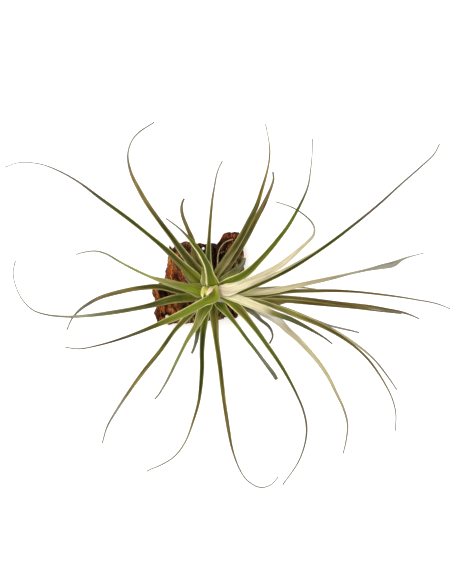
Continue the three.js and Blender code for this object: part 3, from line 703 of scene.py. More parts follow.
def curve_through(controls: np.ndarray, per_span: int = 24) -> np.ndarray:
    """Points of a smooth curve through controls, which neither loops nor overshoots.

    Args:
        controls: control points, one a row.
        per_span: points between two controls.

    Returns:
        Points along the curve, one a row.
    """
    padded = np.vstack([2 * controls[0] - controls[1], controls,
                        2 * controls[-1] - controls[-2]])
    share = (np.arange(per_span) / per_span)[:, None]
    spans = []
    for i in range(len(controls) - 1):
        before, start, end, after = padded[i : i + 4]
        gaps = [max(float(((b - a) ** 2).sum()) ** 0.25, 1e-4)
                for a, b in ((before, start), (start, end), (end, after))]
        leave = ((start - before) / gaps[0] - (end - before) / (gaps[0] + gaps[1])
                 + (end - start) / gaps[1]) * gaps[1]
        arrive = ((end - start) / gaps[1] - (after - start) / (gaps[1] + gaps[2])
                  + (after - end) / gaps[2]) * gaps[1]
        spans.append(start + leave * share
                     + (-3 * start + 3 * end - 2 * leave - arrive) * share**2
                     + (2 * start - 2 * end + leave + arrive) * share**3)
    spans.append(controls[-1:])
    return np.vstack(spans)


def even_rows(points: np.ndarray, dims: int, step: float) -> np.ndarray:
    """The points of a path, set evenly along it.

    Args:
        points: points of the path; its first columns are its place.
        dims: how many columns are its place.
        step: wanted distance between rows.

    Returns:
        The rows, with the length so far as a last column.
    """
    hops = np.linalg.norm(np.diff(points[:, :dims], axis=0), axis=1)
    length = np.concatenate([[0.0], np.cumsum(hops)])
    places = np.linspace(0, length[-1], max(8, round(length[-1] / step)) + 1)
    columns = [np.interp(places, length, points[:, k]) for k in range(points.shape[1])]
    return np.column_stack([*columns, places])


def unit(vectors: np.ndarray) -> np.ndarray:
    """The vectors of a table, each at length 1."""
    return vectors / np.maximum(np.linalg.norm(vectors, axis=1, keepdims=True), 1e-9)


def smoothstep(low: float, high: float, value: np.ndarray) -> np.ndarray:
    """A smooth step from 0 at low to 1 at high."""
    t = np.clip((value - low) / (high - low), 0, 1)
    return t * t * (3 - 2 * t)


def new_object(name: str, mesh: bpy.types.Mesh) -> Piece:
    """An object at the origin that shows a mesh."""
    made = bpy.data.objects.new(name, mesh)
    bpy.context.scene.collection.objects.link(made)
    return made


def mesh_object(name: str, points: np.ndarray, faces: list[tuple[int, ...]],
                material: Material, values: dict[str, np.ndarray] | None = None,
                ) -> Piece:
    """A smooth-shaded object from points and faces.

    Args:
        name: the piece's name.
        points: places in millimetres.
        faces: corners of each face, outwards.
        material: its material.
        values: numbers at each point, by name.

    Returns:
        The object.
    """
    mesh = bpy.data.meshes.new(name)
    mesh.from_pydata((points * MM).tolist(), [], faces)
    for key, numbers in (values or {}).items():
        mesh.attributes.new(key, "FLOAT", "POINT").data.foreach_set("value", numbers)
    mesh.shade_smooth()
    mesh.materials.append(material)
    mesh.update()
    return new_object(name, mesh)


def guide_object(name: str, paths: list[np.ndarray],
                 values: dict[str, np.ndarray]) -> Piece:
    """A guide of open paths for a geometry tree to follow.

    Args:
        name: the piece's name.
        paths: points of each path, in millimetres.
        values: numbers or vectors at each point, by name, over all paths in order.

    Returns:
        The object, whose mesh has only edges.
    """
    edges: list[tuple[int, int]] = []
    start = 0
    for path in paths:
        edges += [(start + i, start + i + 1) for i in range(len(path) - 1)]
        start += len(path)
    mesh = bpy.data.meshes.new(name)
    mesh.from_pydata((np.vstack(paths) * MM).tolist(), edges, [])
    for key, numbers in values.items():
        wide = numbers.ndim == 2
        layer = mesh.attributes.new(key, "FLOAT_VECTOR" if wide else "FLOAT", "POINT")
        layer.data.foreach_set("vector" if wide else "value", numbers.astype(float).ravel())
    return new_object(name, mesh)


def grown(guide: Piece, tree: Tree, inputs: dict[str, Any],
          keep: tuple[str, ...] = ()) -> Piece:
    """Runs a geometry tree on a guide and keeps the result as the object's plain mesh.

    Args:
        guide: the guide object.
        tree: the geometry tree.
        inputs: values by the name of the tree's input.
        keep: names of the attributes that the material reads.

    Returns:
        The same object, with a plain mesh and no modifier.
    """
    modifier = guide.modifiers.new("grow", "NODES")
    modifier.node_group = tree
    for item in tree.interface.items_tree:
        if item.in_out == "INPUT" and item.name in inputs:
            modifier[item.identifier] = inputs[item.name]
    graph = bpy.context.evaluated_depsgraph_get()
    mesh = bpy.data.meshes.new_from_object(guide.evaluated_get(graph))
    guide.modifiers.clear()
    guide.data = mesh
    for layer in [a.name for a in mesh.attributes if a.name not in keep]:
        found = mesh.attributes.get(layer)
        if found is not None and not found.is_required and not found.name.startswith("."):
            if found.name not in ("sharp_face", "material_index", "position"):
                mesh.attributes.remove(found)
    return guide


def tree_with_inputs(name: str, sockets: dict[str, tuple[str, Any]],
                     ) -> tuple[Tree, Node]:
    """A geometry tree with named inputs.

    Args:
        name: the tree's name.
        sockets: socket type and default by input name.

    Returns:
        The tree and its input node.
    """
    tree = bpy.data.node_groups.new(name, "GeometryNodeTree")
    tree.interface.new_socket("Geometry", in_out="INPUT", socket_type="NodeSocketGeometry")
    for label, (kind, default) in sockets.items():
        socket = tree.interface.new_socket(label, in_out="INPUT", socket_type=kind)
        if default is not None:
            socket.default_value = default
    tree.interface.new_socket("Geometry", in_out="OUTPUT", socket_type="NodeSocketGeometry")
    return tree, add_node(tree, "NodeGroupInput")


def close_tree(tree: Tree, shape: Any, material: Any) -> None:
    """Ends a geometry tree: smooth shading, real instances, the material and the output.

    Args:
        tree: the geometry tree.
        shape: socket with the finished geometry.
        material: socket with the material.
    """
    smooth = add_node(tree, "GeometryNodeSetShadeSmooth", links={"Geometry": shape})
    real = add_node(tree, "GeometryNodeRealizeInstances", links={0: smooth.outputs[0]})
    painted = add_node(tree, "GeometryNodeSetMaterial",
                       links={"Geometry": real.outputs[0], "Material": material})
    add_node(tree, "NodeGroupOutput", links={0: painted.outputs[0]})


def stored(tree: Tree, shape: Any, name: str, value: Any,
           kind: str = "FLOAT") -> Any:
    """Socket of a shape that also carries a named number or vector at its points."""
    return add_node(tree, "GeometryNodeStoreNamedAttribute",
                    {"data_type": kind, "domain": "POINT", "Name": name},
                    {"Geometry": shape, "Value": value}).outputs[0]


def carried(tree: Tree, name: str, kind: str = "FLOAT") -> Any:
    """Socket of a named number or vector at each point."""
    return add_node(tree, "GeometryNodeInputNamedAttribute",
                    {"data_type": kind, 0: name}).outputs[0]


def closed_faces(rings: int, count: int, upward: bool = False) -> list[tuple[int, ...]]:
    """Faces of a closed form made of a first point, rings of points and a last point.

    Args:
        rings: how many rings it has.
        count: points of a ring, anticlockwise from above.
        upward: whether the rings run from the bottom up, and not from the top down.

    Returns:
        The corners of each face, outwards.
    """
    faces: list[tuple[int, ...]] = []
    end = 1 + rings * count
    last = end - count
    for i in range(count):
        after = (i + 1) % count
        faces.append((0, 1 + i, 1 + after))
        for near in range(1, last, count):
            far = near + count
            faces.append((near + i, far + i, far + after, near + after))
        faces.append((end, last + after, last + i))
    return [face[:1] + face[:0:-1] for face in faces] if upward else faces


@dataclass
class BladeTree:
    """Geometry tree that turns a guide into a channelled blade with thin, wavy edges."""

    section_points: int = 20
    channel_slope: float = 0.35
    valley_round: float = 0.35
    wave_height: float = 0.16
    wave_length: float = 7.0
    tree: Tree = field(init=False)

    def __post_init__(self) -> None:
        """Builds the tree once, for every blade."""
        self.tree = self.build()

    def build(self) -> Tree:
        """Makes the nodes.

        Returns:
            The tree.
        """
        tree, inputs = tree_with_inputs("blade", {
            "Section points": ("NodeSocketInt", self.section_points),
            "Channel slope": ("NodeSocketFloat", self.channel_slope),
            "Valley round": ("NodeSocketFloat", self.valley_round * MM),
            "Wave height": ("NodeSocketFloat", self.wave_height * MM),
            "Wave length": ("NodeSocketFloat", self.wave_length),
            "Seed": ("NodeSocketFloat", 0.0),
            "Material": ("NodeSocketMaterial", None),
        })
        given = inputs.outputs
        across, face, half_width, half_thick, opened, cone_slope, reach = (
            carried(tree, key) for key in ("across", "face", "half_width", "half_thick", "open",
                                           "cone_slope", "reach"))
        spine, side, up = (carried(tree, key, "FLOAT_VECTOR") for key in ("spine", "side", "up"))
        section = add_node(tree, "GeometryNodeCurvePrimitiveCircle", {"Radius": 1.0},
                           {"Resolution": given["Section points"]}).outputs[0]
        place = add_node(tree, "GeometryNodeInputPosition").outputs[0]
        axes = add_node(tree, "ShaderNodeSeparateXYZ", links={0: place}).outputs
        section = stored(tree, section, "across", axes[0])
        section = stored(tree, section, "face", axes[1])
        marked = stored(tree, given["Geometry"], "spine", place, "FLOAT_VECTOR")
        curve = add_node(tree, "GeometryNodeMeshToCurve", links={0: marked})
        swept = add_node(tree, "GeometryNodeCurveToMesh", {"Fill Caps": True},
                         {"Curve": curve.outputs[0], "Profile Curve": section})

        # Near the stem the blade lies on its tier's cone
        offset = calc(tree, "MULTIPLY", across, half_width)
        flat = calc_vector(tree, "ADD", spine, scaled(tree, side, offset))
        radii = [length_of(tree, calc_vector(tree, "MULTIPLY", spot, (1.0, 1.0, 0.0)))
                 for spot in (flat, spine)]
        cone = calc(tree, "MULTIPLY", calc(tree, "SUBTRACT", *radii), cone_slope)
        cone_lift = calc(tree, "MULTIPLY", cone, calc(tree, "SUBTRACT", 1.0, opened))
        rise = add_node(tree, "ShaderNodeCombineXYZ", {}, {2: cone_lift}).outputs[0]

        # Farther out it is a channel with a rounded valley
        valley = given["Valley round"]
        both = calc(tree, "ADD", calc(tree, "MULTIPLY", offset, offset),
                    calc(tree, "MULTIPLY", valley, valley))
        rounded = calc(tree, "SUBTRACT", calc(tree, "SQRT", both), valley)
        channel = calc(tree, "MULTIPLY", rounded, given["Channel slope"])
        channel_lift = calc(tree, "MULTIPLY", channel, opened)

        # Its edges wave
        rhythm = add_node(tree, "ShaderNodeCombineXYZ", {}, {
            0: calc(tree, "DIVIDE", reach, given["Wave length"]), 1: across, 2: given["Seed"]})
        wave = mottle(tree, rhythm.outputs[0], 1.0, 1.0)
        swing = calc(tree, "MULTIPLY_ADD", wave, 2.0, -1.0)
        edge_wave = calc(tree, "MULTIPLY", calc(tree, "MULTIPLY", swing, given["Wave height"]),
                         calc(tree, "MULTIPLY", across, across))
        thick = calc(tree, "MULTIPLY_ADD", face, half_thick, edge_wave)
        lift = scaled(tree, up, calc(tree, "ADD", thick, channel_lift))
        final = calc_vector(tree, "ADD", calc_vector(tree, "ADD", flat, rise), lift)
        shaped = add_node(tree, "GeometryNodeSetPosition",
                          links={"Geometry": swept.outputs[0], "Position": final})

        # The material reads the place across the blade in millimetres
        to_edge = calc(tree, "SUBTRACT", half_width, calc(tree, "ABSOLUTE", offset))
        shape = stored(tree, shaped.outputs[0], "offset", calc(tree, "DIVIDE", offset, MM))
        shape = stored(tree, shape, "edge", calc(tree, "DIVIDE", to_edge, MM))
        close_tree(tree, shape, given["Material"])
        return tree

    def grow(self, name: str, rows: dict[str, np.ndarray], material: Material,
             seed: float, **sizes: float) -> Piece:
        """Grows one blade.

        Args:
            name: the piece's name.
            rows: the guide's points and what the tree reads at each.
            material: the blade's material.
            seed: shifts the edge's waves.
            **sizes: tree inputs that differ for this blade, by name with underscores.

        Returns:
            The blade as a plain mesh object.
        """
        guide = guide_object(name, [rows["points"]],
                             {k: v for k, v in rows.items() if k != "points"})
        inputs = {"Seed": seed, "Material": material}
        inputs.update({key.replace("_", " ").capitalize(): value for key, value in sizes.items()})
        return grown(guide, self.tree, inputs, BLADE_READS)


@dataclass
class TubeTree:
    """Geometry tree that turns a guide into a knobbly tube, as wiry roots are."""

    sides: int = 12
    knob_height: float = 0.08
    knobs: float = 900.0
    tree: Tree = field(init=False)

    def __post_init__(self) -> None:
        """Builds the tree once, for every root."""
        tree, inputs = tree_with_inputs("tube", {
            "Sides": ("NodeSocketInt", self.sides),
            "Knob height": ("NodeSocketFloat", self.knob_height * MM),
            "Material": ("NodeSocketMaterial", None),
        })
        given = inputs.outputs
        circle = add_node(tree, "GeometryNodeCurvePrimitiveCircle", {"Radius": 1.0},
                          {"Resolution": given["Sides"]})
        curve = add_node(tree, "GeometryNodeMeshToCurve", links={0: given["Geometry"]})
        swept = add_node(tree, "GeometryNodeCurveToMesh", {"Fill Caps": True},
                         {"Curve": curve.outputs[0], "Profile Curve": circle.outputs[0],
                          "Scale": carried(tree, "half_width")})
        height = calc(tree, "SUBTRACT", mottle(tree, None, self.knobs, 2.0), 0.5)
        normal = add_node(tree, "GeometryNodeInputNormal").outputs[0]
        push = scaled(tree, normal, calc(tree, "MULTIPLY", height, given["Knob height"]))
        shaped = add_node(tree, "GeometryNodeSetPosition",
                          links={"Geometry": swept.outputs[0], "Offset": push})
        close_tree(tree, shaped.outputs[0], given["Material"])
        self.tree = tree


# The plant, piece by piece


@dataclass(frozen=True)
class Rosette:
    """How the leaves stand: tiers of cones round the stem, steeper and higher tier by tier."""

    lowest_z: float = 15.6
    lowest_slope: float = 0.08
    slope_per_tier: float = 0.068
    tier_step: float = 1.2
    cone_radius: float = 16.0
    channel_from: float = 11.0
    lowest_tip_slope: float = -0.15
    tip_slope_per_tier: float = -0.03
    full_arch: float = 60.0
    stem_profile: tuple[tuple[float, float], ...] = (
        (4.9, 12.3), (4.1, 14), (3.8, 20), (3.3, 26), (2.9, 29.5), (1.9, 31))
    root_gap: float = 0.4

    def cone(self, tier: int) -> tuple[float, float]:
        """Slope of a tier's cone and its height on the axis."""
        height = self.lowest_z
        for level in range(1, tier + 1):
            slope = self.lowest_slope + self.slope_per_tier * level
            height += self.tier_step * math.sqrt(1 + slope * slope)
        return self.lowest_slope + self.slope_per_tier * tier, height

    def stem_radius(self, z: float) -> float:
        """Radius of the stem at a height."""
        radii, heights = zip(*self.stem_profile)
        return float(np.interp(z, heights, radii))


@dataclass
class Leaf:
    """One leaf: its stations from root to tip as seen from above, as x, y and width in mm."""

    number: int
    tier: int
    slot: str
    skin: BladeSkin
    stations: tuple[tuple[float, float, float], ...]
    clasps: bool = False
    tip_slope: float | None = None
    root_thickness: float = 0.8
    tip_thickness: float = 0.6
    tip_taper: float = 2.5
    tip_width: float = 0.5
    taper_power: float = 0.7
    hair_width: float = 0.62
    root_tuck: float = 0.7
    edge_thickness: float = 0.12
    width_share: float = 0.4
    slimmer: float = 0.9
    row_step: float = 0.75

    @property
    def name(self) -> str:
        """Name of the leaf's CAD node."""
        return f"leaf_{self.number:02d}"

    def rows(self, rosette: Rosette) -> dict[str, np.ndarray]:
        """The guide of the blade.

        Args:
            rosette: how the leaves stand.

        Returns:
            The middle of the blade and what the blade tree reads there.
        """
        slope, height = rosette.cone(self.tier)
        controls = np.array(self.stations, float)
        if not self.clasps:
            reach = rosette.stem_radius(height) + rosette.root_gap
            controls[0, :2] *= reach / np.hypot(*controls[0, :2])
        dense = curve_through(controls)
        if not self.clasps:
            start = dense[1] - dense[0]
            inward = dense[0] - start / np.hypot(*start[:2]) * self.root_tuck
            inward[2] = dense[0, 2]
            dense = np.vstack([inward, dense])
        path = even_rows(dense, 2, self.row_step)
        x, y, width, reach = path.T
        radius = np.hypot(x, y)
        step = reach[1] - reach[0]
        outer = np.cumsum(np.where(radius > rosette.cone_radius, step, 0.0))
        outer_length = outer[-1]
        tip = self.tip_slope
        if tip is None:
            tip = rosette.lowest_tip_slope + rosette.tip_slope_per_tier * self.tier
        if outer_length > 0:
            bend = (tip - slope) * min(1.0, outer_length / rosette.full_arch)
            done = outer / outer_length
        else:
            bend = 0.0
            done = outer
        far = height + slope * rosette.cone_radius + outer * (
            slope + bend * (done - done**2 / 3))
        z = np.where(outer > 0, far, height + slope * radius)
        climb = slope + bend * (2 * done - done**2)
        along = reach / reach[-1]
        thin = self.root_thickness + (self.tip_thickness - self.root_thickness) * along
        z = z - thin / 2 * np.sqrt(1 + climb**2)
        heading = unit(np.gradient(np.column_stack([x, y]), axis=0))
        ahead = unit(np.column_stack([heading, climb]))
        side = np.column_stack([-heading[:, 1], heading[:, 0], np.zeros(len(x))])
        up = np.cross(ahead, side)
        left = np.clip((reach[-1] - reach) / self.tip_taper, 0, 1)
        fine = self.hair_width / self.tip_width
        width = width * (fine + (1 - fine) * left**self.taper_power)
        half_thick = np.minimum(thin / 2, self.edge_thickness + self.width_share * width / 2)
        return {
            "points": np.column_stack([x, y, z]),
            "side": side,
            "up": up,
            "half_width": width / 2 * MM,
            "half_thick": half_thick * self.slimmer * MM,
            "open": smoothstep(rosette.channel_from, rosette.cone_radius, radius),
            "cone_slope": np.full(len(x), slope),
            "along": along,
            "reach": reach,
        }

    def build(self, rosette: Rosette, blades: BladeTree) -> Piece:
        """Grows the leaf and sets it in place of its CAD node.

        Args:
            rosette: how the leaves stand.
            blades: the blade tree.

        Returns:
            The leaf.
        """
        seed = self.number * SEED_STEP
        piece = blades.grow(f"blade_{self.name}", self.rows(rosette),
                            self.skin.material(self.name, seed), seed)
        return settle(piece, self.slot, self.name)


@dataclass
class HeartLeaf:
    """A young leaf still rolled: stations from root to tip as x, y, z and width in mm."""

    number: int
    slot: str
    skin: BladeSkin
    stations: tuple[tuple[float, float, float, float], ...]
    thickness: float = 1.0
    half_share: float = 0.42
    roll: float = 0.9
    row_step: float = 0.25
    tip_share: float = 0.12
    tip_least: float = 0.02
    opens: tuple[float, float] = (0.2, 0.5)

    @property
    def name(self) -> str:
        """Name of the leaf's CAD node."""
        return f"heart_leaf_{self.number:02d}"

    def build(self, blades: BladeTree) -> Piece:
        """Grows the young leaf and sets it in place of its CAD node.

        Args:
            blades: the blade tree.

        Returns:
            The leaf.
        """
        path = even_rows(curve_through(np.array(self.stations, float)), 3, self.row_step)
        points, width, reach = path[:, :3], path[:, 3], path[:, 4]
        ahead = unit(np.gradient(points, axis=0))
        side = unit(np.column_stack([-ahead[:, 1], ahead[:, 0], np.zeros(len(ahead))]))
        along = reach / reach[-1]
        narrow = np.sqrt(np.clip((1 - along) / self.tip_share, self.tip_least, 1))
        rows = {
            "points": points,
            "side": side,
            "up": np.cross(ahead, side),
            "half_width": width * narrow / 2 * MM,
            "half_thick": (np.minimum(1, width) * narrow * self.thickness * self.half_share
                           * MM),
            "open": smoothstep(*self.opens, along),
            "cone_slope": np.zeros(len(points)),
            "along": along,
            "reach": reach,
        }
        seed = HEART_SEED + self.number * HEART_SEED_STEP
        piece = blades.grow(f"blade_{self.name}", rows,
                            self.skin.material(self.name, seed), seed, channel_slope=self.roll)
        return settle(piece, self.slot, self.name)


def settle(piece: Piece, slot: str, *nodes: str) -> Piece:
    """Sets a piece on the body, in place of CAD nodes.

    Args:
        piece: the finished piece.
        slot: not used.
        *nodes: the CAD nodes that it stands for.

    Returns:
        The same piece.
    """
    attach(piece, BODY)
    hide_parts(*nodes)
    log.info("%s: %d faces", piece.name, len(piece.data.polygons))
    return piece


@dataclass(frozen=True)
class Relief:
    """One layer of noise over the bark.

    Attributes:
        pace: how fast it changes along x and y, for each mm.
        layer: which slice of the noise it is.
        fade: how fast its finer octaves fade.
        finer: how much finer each octave is than the one before.
        octaves: how many it has.
    """

    pace: tuple[float, float]
    layer: float
    fade: float = 0.8
    finer: float = 2.0
    octaves: int = 3

    def spot(self, x: float, y: float) -> Vector:
        """Where the noise is read for a place in mm."""
        return Vector((x * self.pace[0], y * self.pace[1], self.layer))

    def wave(self, x: float, y: float) -> float:
        """Its height without finer octaves, up and down from 0."""
        return noise.noise(self.spot(x, y))

    def height(self, x: float, y: float) -> float:
        """Its height, up and down from 0."""
        return noise.fractal(self.spot(x, y), self.fade, self.finer, self.octaves)

    def ridge(self, x: float, y: float) -> float:
        """Its height with sharp ridges, up from 0."""
        return noise.ridged_multi_fractal(self.spot(x, y), self.fade, self.finer, self.octaves,
                                          RIDGE_OFFSET, RIDGE_GAIN)


@dataclass
class Bark:
    """The chip of bark, from its traced outline and the humps and hollows of its face."""

    centre: tuple[float, float] = (-6.0, 3.0)
    face_z: float = 10.5
    rim_drop: float = 3.0
    back_inset: float = 0.97
    grain_height: float = 0.8
    grain_spacing: float = 5.5
    grain_lean: float = 0.35
    grain_wander: float = 1.3
    grain_wander_length: float = 4.0
    seat_z: float = 12.0
    seat_radius: float = 6.0
    seat_blend: float = 5.0
    points_round: int = 560
    rings: int = 104
    side_rings: int = 22
    fibre_height: float = 0.85
    crack_depth: float = 1.4
    rough_height: float = 0.35
    pin_clearance: float = 0.3
    pin_depth: float = 1.6
    pin_seam: float = 0.15
    bare_seat: tuple[float, float] = (3.6, 7.5)
    worn_edge: tuple[float, float] = (0.86, 1.0)
    chip_height: float = 0.55
    chip_stand: float = 0.3
    crack_from: float = 0.8
    crack_gain: float = 1.5
    wander_reach: float = 2.2
    chips: Relief = Relief((0.45, 0.45), 3.0, 0.8, 2.2, 4)
    wander: Relief = Relief((0.2, 0.2), 1.0)
    plates: Relief = Relief((0.3, 0.12), 5.0, 0.9, 2.1, 3)
    fibres: Relief = Relief((0.85, 0.25), 7.0, 0.75, 2.1, 4)
    grit: Relief = Relief((1.3, 1.0), 9.0)
    layers_pace: tuple[float, float] = (0.16, 9.0)
    skin: BarkSkin = field(default_factory=BarkSkin)
    outline: tuple[tuple[float, float], ...] = (
        (17.5, 3), (17, 10.5), (16.7, 17), (16.8, 23), (16.2, 27.2), (14.4, 29.4), (11, 29.3),
        (7.4, 29.2), (6.2, 28.2), (5.2, 25.8), (3.5, 23.5), (-6.5, 23.7), (-11, 24.8),
        (-16, 24), (-19, 21), (-20.3, 23), (-20.5, 20.5), (-21.5, 12.5), (-22.8, 6.6),
        (-26, 3.5), (-28.8, 0.5),
        (-28.5, -2.2), (-26.7, -8), (-28.3, -11), (-26.5, -15.5), (-20.5, -16.6),
        (-16.8, -16.3), (-7.2, -15.8), (4.2, -14.3), (10, -12.5), (12.8, -13.8),
        (14, -12.3), (15.5, -4.5))
    humps: tuple[tuple[float, float, float, float], ...] = (
        (-18, -8.8, 2.2, 3.5), (-18.5, 1.5, 2.4, 3), (-22, -2.2, -3.6, 3.2),
        (0, 17.5, -2.6, 6), (11, 26, 3.4, 4.5), (-9, -12, 1.6, 4), (-17.5, 12, 1.8, 5),
        (9, -10, -2, 4))

    def face(self, x: np.ndarray, y: np.ndarray) -> np.ndarray:
        """Height of the chip's face over a place.

        Args:
            x: places in mm.
            y: places in mm.

        Returns:
            Heights in mm.
        """
        z = np.full(np.shape(x), self.face_z)
        for at_x, at_y, height, radius in self.humps:
            z = z + height * np.exp(-((x - at_x) ** 2 + (y - at_y) ** 2) / radius**2)
        grain = 2 * math.pi * (x + self.grain_lean * y) / self.grain_spacing
        z = z + self.grain_height * np.sin(
            grain + self.grain_wander * np.sin(y / self.grain_wander_length))
        seat = 1 - smoothstep(self.seat_radius, self.seat_radius + self.seat_blend,
                              np.hypot(x, y))
        return z + (self.seat_z - z) * seat

    def rim(self) -> np.ndarray:
        """The outline walked in even steps, with small chips out of it."""
        corners = np.array([*self.outline, self.outline[0]], float)
        hops = np.linalg.norm(np.diff(corners, axis=0), axis=1)
        length = np.concatenate([[0.0], np.cumsum(hops)])
        places = np.linspace(0, length[-1], self.points_round, endpoint=False)
        walk = np.column_stack([np.interp(places, length, corners[:, k]) for k in (0, 1)])
        away = unit(walk - np.array(self.centre))
        chips = np.array([self.chips.height(*p) for p in walk])
        return walk + away * (chips * self.chip_height + self.chip_stand)[:, None]

    def relief(self, x: float, y: float) -> tuple[float, float, float]:
        """Fine relief of the face: height, how hollow it is and how much a crest.

        Args:
            x: place in mm.
            y: place in mm.

        Returns:
            Height in mm, and two shares from 0 to 1.
        """
        lean = x + self.grain_lean * y
        lean += self.wander.wave(x, y) * self.wander_reach
        fibre = self.fibres.height(lean, y)
        grit = self.grit.height(x, y)
        crack = max(0.0, min(1.0, (self.crack_from - self.plates.ridge(lean, y))
                             * self.crack_gain))
        height = fibre * self.fibre_height - crack * self.crack_depth
        height += grit * self.rough_height
        crest = max(0.0, min(1.0, 0.45 + fibre * 1.2 + grit * 0.8 - crack))
        return height, crack, crest

    def build(self, pins: list["Pin"]) -> Piece:
        """Makes the chip as one closed mesh and sets it in place of its CAD node.

        Args:
            pins: the pins whose holes are sunk in the face.

        Returns:
            The chip.
        """
        rim = self.rim()
        centre = np.array(self.centre)
        count = len(rim)
        layers: list[np.ndarray] = []
        hollow: list[float] = [0.0]
        crest: list[float] = [0.2]
        top = [np.array([[*centre, float(self.face(*centre))]])]
        for ring in range(1, self.rings + 1):
            share = (ring / self.rings) ** 0.8
            place = centre + (rim - centre) * share
            z = self.face(place[:, 0], place[:, 1])
            seat = smoothstep(*self.bare_seat, np.hypot(place[:, 0], place[:, 1]))
            edge = smoothstep(*self.worn_edge, np.full(count, share))
            fine = [self.relief(float(px), float(py)) for px, py in place]
            z = z + np.array([f[0] for f in fine]) * seat * (1 - 0.3 * edge)
            z = z - self.rim_drop * edge**2 * 0.8
            # Painted shade: the material darkens the cracks and the holes round the pins by this
            # share
            sunk = np.array([f[1] for f in fine]) ** 2 * 0.8 * seat
            for pin in pins:
                away = np.hypot(place[:, 0] - pin.at[0], place[:, 1] - pin.at[1])
                wall = pin.radius + self.pin_seam
                inside = 1 - smoothstep(wall, wall + self.pin_clearance * 1.6, away)
                z = z - inside * self.pin_depth
                sunk = np.maximum(sunk, inside)
            layers.append(np.column_stack([place, z]))
            hollow += sunk.tolist()
            crest += [f[2] for f in fine]
        low = layers[-1][:, 2]
        for level in range(1, self.side_rings + 1):
            down = level / self.side_rings
            inset = 1 + (self.back_inset - 1) * down
            place = centre + (rim - centre) * inset
            pace, depth = self.layers_pace
            layered = np.array([noise.fractal(Vector((px * pace, py * pace, down * depth)),
                                              0.9, 2.0, 4) for px, py in place])
            shrink = 1 - 0.02 * (layered + 0.35) * math.sin(math.pi * down) ** 0.5
            place = centre + (place - centre) * shrink[:, None]
            layers.append(np.column_stack([place, low * (1 - down)]))
            # Painted shade on the sides' recessed layers; their proud layers are partly rubbed
            # pale, partly painted highlight
            hollow += np.clip(-layered * 1.2, 0, 0.8).tolist()
            crest += np.clip(layered, 0, 1).tolist()
        foot = np.array([[*centre, 0.0]])
        hollow.append(0.0)
        crest.append(0.0)
        points = np.vstack([*top, *layers, foot])
        piece = mesh_object("chip_of_bark", points, closed_faces(len(layers), count),
                            self.skin.material(),
                            {"hollow": np.array(hollow), "crest": np.array(crest)})
        return settle(piece, "bark", "bark")


@dataclass
class Pin:
    """A pale round pin that stands loose in its hole in the bark."""

    name: str
    at: tuple[float, float]
    radius: float
    proud: float
    skin: FibreSkin
    depth: float = 3.7
    sides: int = 28
    dome_rings: int = 6
    foot_share: float = 0.8
    foot_height: float = 0.3

    def build(self, bark: Bark) -> Piece:
        """Turns the pin and sets it in place of its CAD node.

        Args:
            bark: the chip it stands in.

        Returns:
            The pin.
        """
        ground = float(bark.face(np.array(self.at[0]), np.array(self.at[1])))
        top = ground + self.proud
        low = ground - self.depth
        dome = [(self.radius * math.cos(a), top - self.radius / 2 + self.radius / 2 * math.sin(a))
                for a in np.linspace(0, math.pi / 2, self.dome_rings + 1)[:-1]]
        profile = [(self.radius * self.foot_share, low), (self.radius, low + self.foot_height),
                   *dome]
        points = [(*self.at, low)]
        for radius, z in profile:
            for i in range(self.sides):
                turn = 2 * math.pi * i / self.sides
                points.append((self.at[0] + radius * math.cos(turn),
                               self.at[1] + radius * math.sin(turn), z))
        points.append((*self.at, top))
        piece = mesh_object(f"shaped_{self.name}", np.array(points),
                            closed_faces(len(profile), self.sides, upward=True),
                            self.skin.material())
        return settle(piece, "pin", self.name)


@dataclass
class Root:
    """A wiry root over the bark, with thin rootlets off it."""

    name: str
    route: tuple[tuple[float, float], ...]
    radius: float = 0.45
    visible_radius: float = 0.32
    clearance: float = 0.7
    rootlets: int = 5
    rootlet_points: int = 14
    rootlet_step: float = 0.32
    rootlet_radii: tuple[float, float] = (0.14, 0.05)
    rootlet_rise: float = 0.35
    rootlet_drop: float = 1.2
    tip_share: float = 0.7
    row_step: float = 0.35
    bleached: bool = False

    def paths(self, bark: Bark) -> tuple[list[np.ndarray], np.ndarray]:
        """The root's own path and those of its rootlets.

        Args:
            bark: the chip that it creeps over.

        Returns:
            The paths and the radius at each of their points, in metres.
        """
        reach = self.clearance
        controls = []
        for x, y in self.route:
            under = [float(bark.face(np.array(x + dx * reach), np.array(y + dy * reach)))
                     for dx, dy in ((0, 0), (1, 0), (-1, 0), (0, 1), (0, -1))]
            controls.append((x, y, max(under) + self.radius + reach))
        main = even_rows(curve_through(np.array(controls)), 3, self.row_step)[:, :3]
        taper = np.linspace(1.0, self.tip_share, len(main))
        paths = [main]
        radii = [self.visible_radius * taper * MM]
        heading = unit(np.gradient(main, axis=0))
        for i in range(self.rootlets):
            start = int((i + 1) / (self.rootlets + 1) * len(main))
            lean = 1 if i % 2 else -1
            across = np.array([-heading[start, 1], heading[start, 0], 0.0]) * lean
            steps = np.arange(self.rootlet_points)[:, None] * self.rootlet_step
            bow = np.sin(steps * 1.1 + i) * 0.35
            place = main[start] + steps * (across * 0.75 + heading[start] * 0.65)
            place = place + bow * heading[start] * 0.4
            ground = bark.face(place[:, 0], place[:, 1]) + self.rootlet_rise
            settle_down = np.clip(steps[:, 0] / self.rootlet_drop, 0, 1)
            place[:, 2] = main[start, 2] * (1 - settle_down) + ground * settle_down
            paths.append(place)
            radii.append(np.linspace(*self.rootlet_radii, len(place)) * MM)
        return paths, np.concatenate(radii)

    def build(self, bark: Bark, tubes: TubeTree, material: Material,
              ) -> Piece:
        """Grows the root and sets it in place of its CAD node.

        Args:
            bark: the chip that it creeps over.
            tubes: the tube tree.
            material: the root's finish.

        Returns:
            The root.
        """
        paths, radii = self.paths(bark)
        guide = guide_object(f"wiry_{self.name}", paths, {"half_width": radii})
        piece = grown(guide, tubes.tree, {"Material": material})
        return settle(piece, "root", self.name)


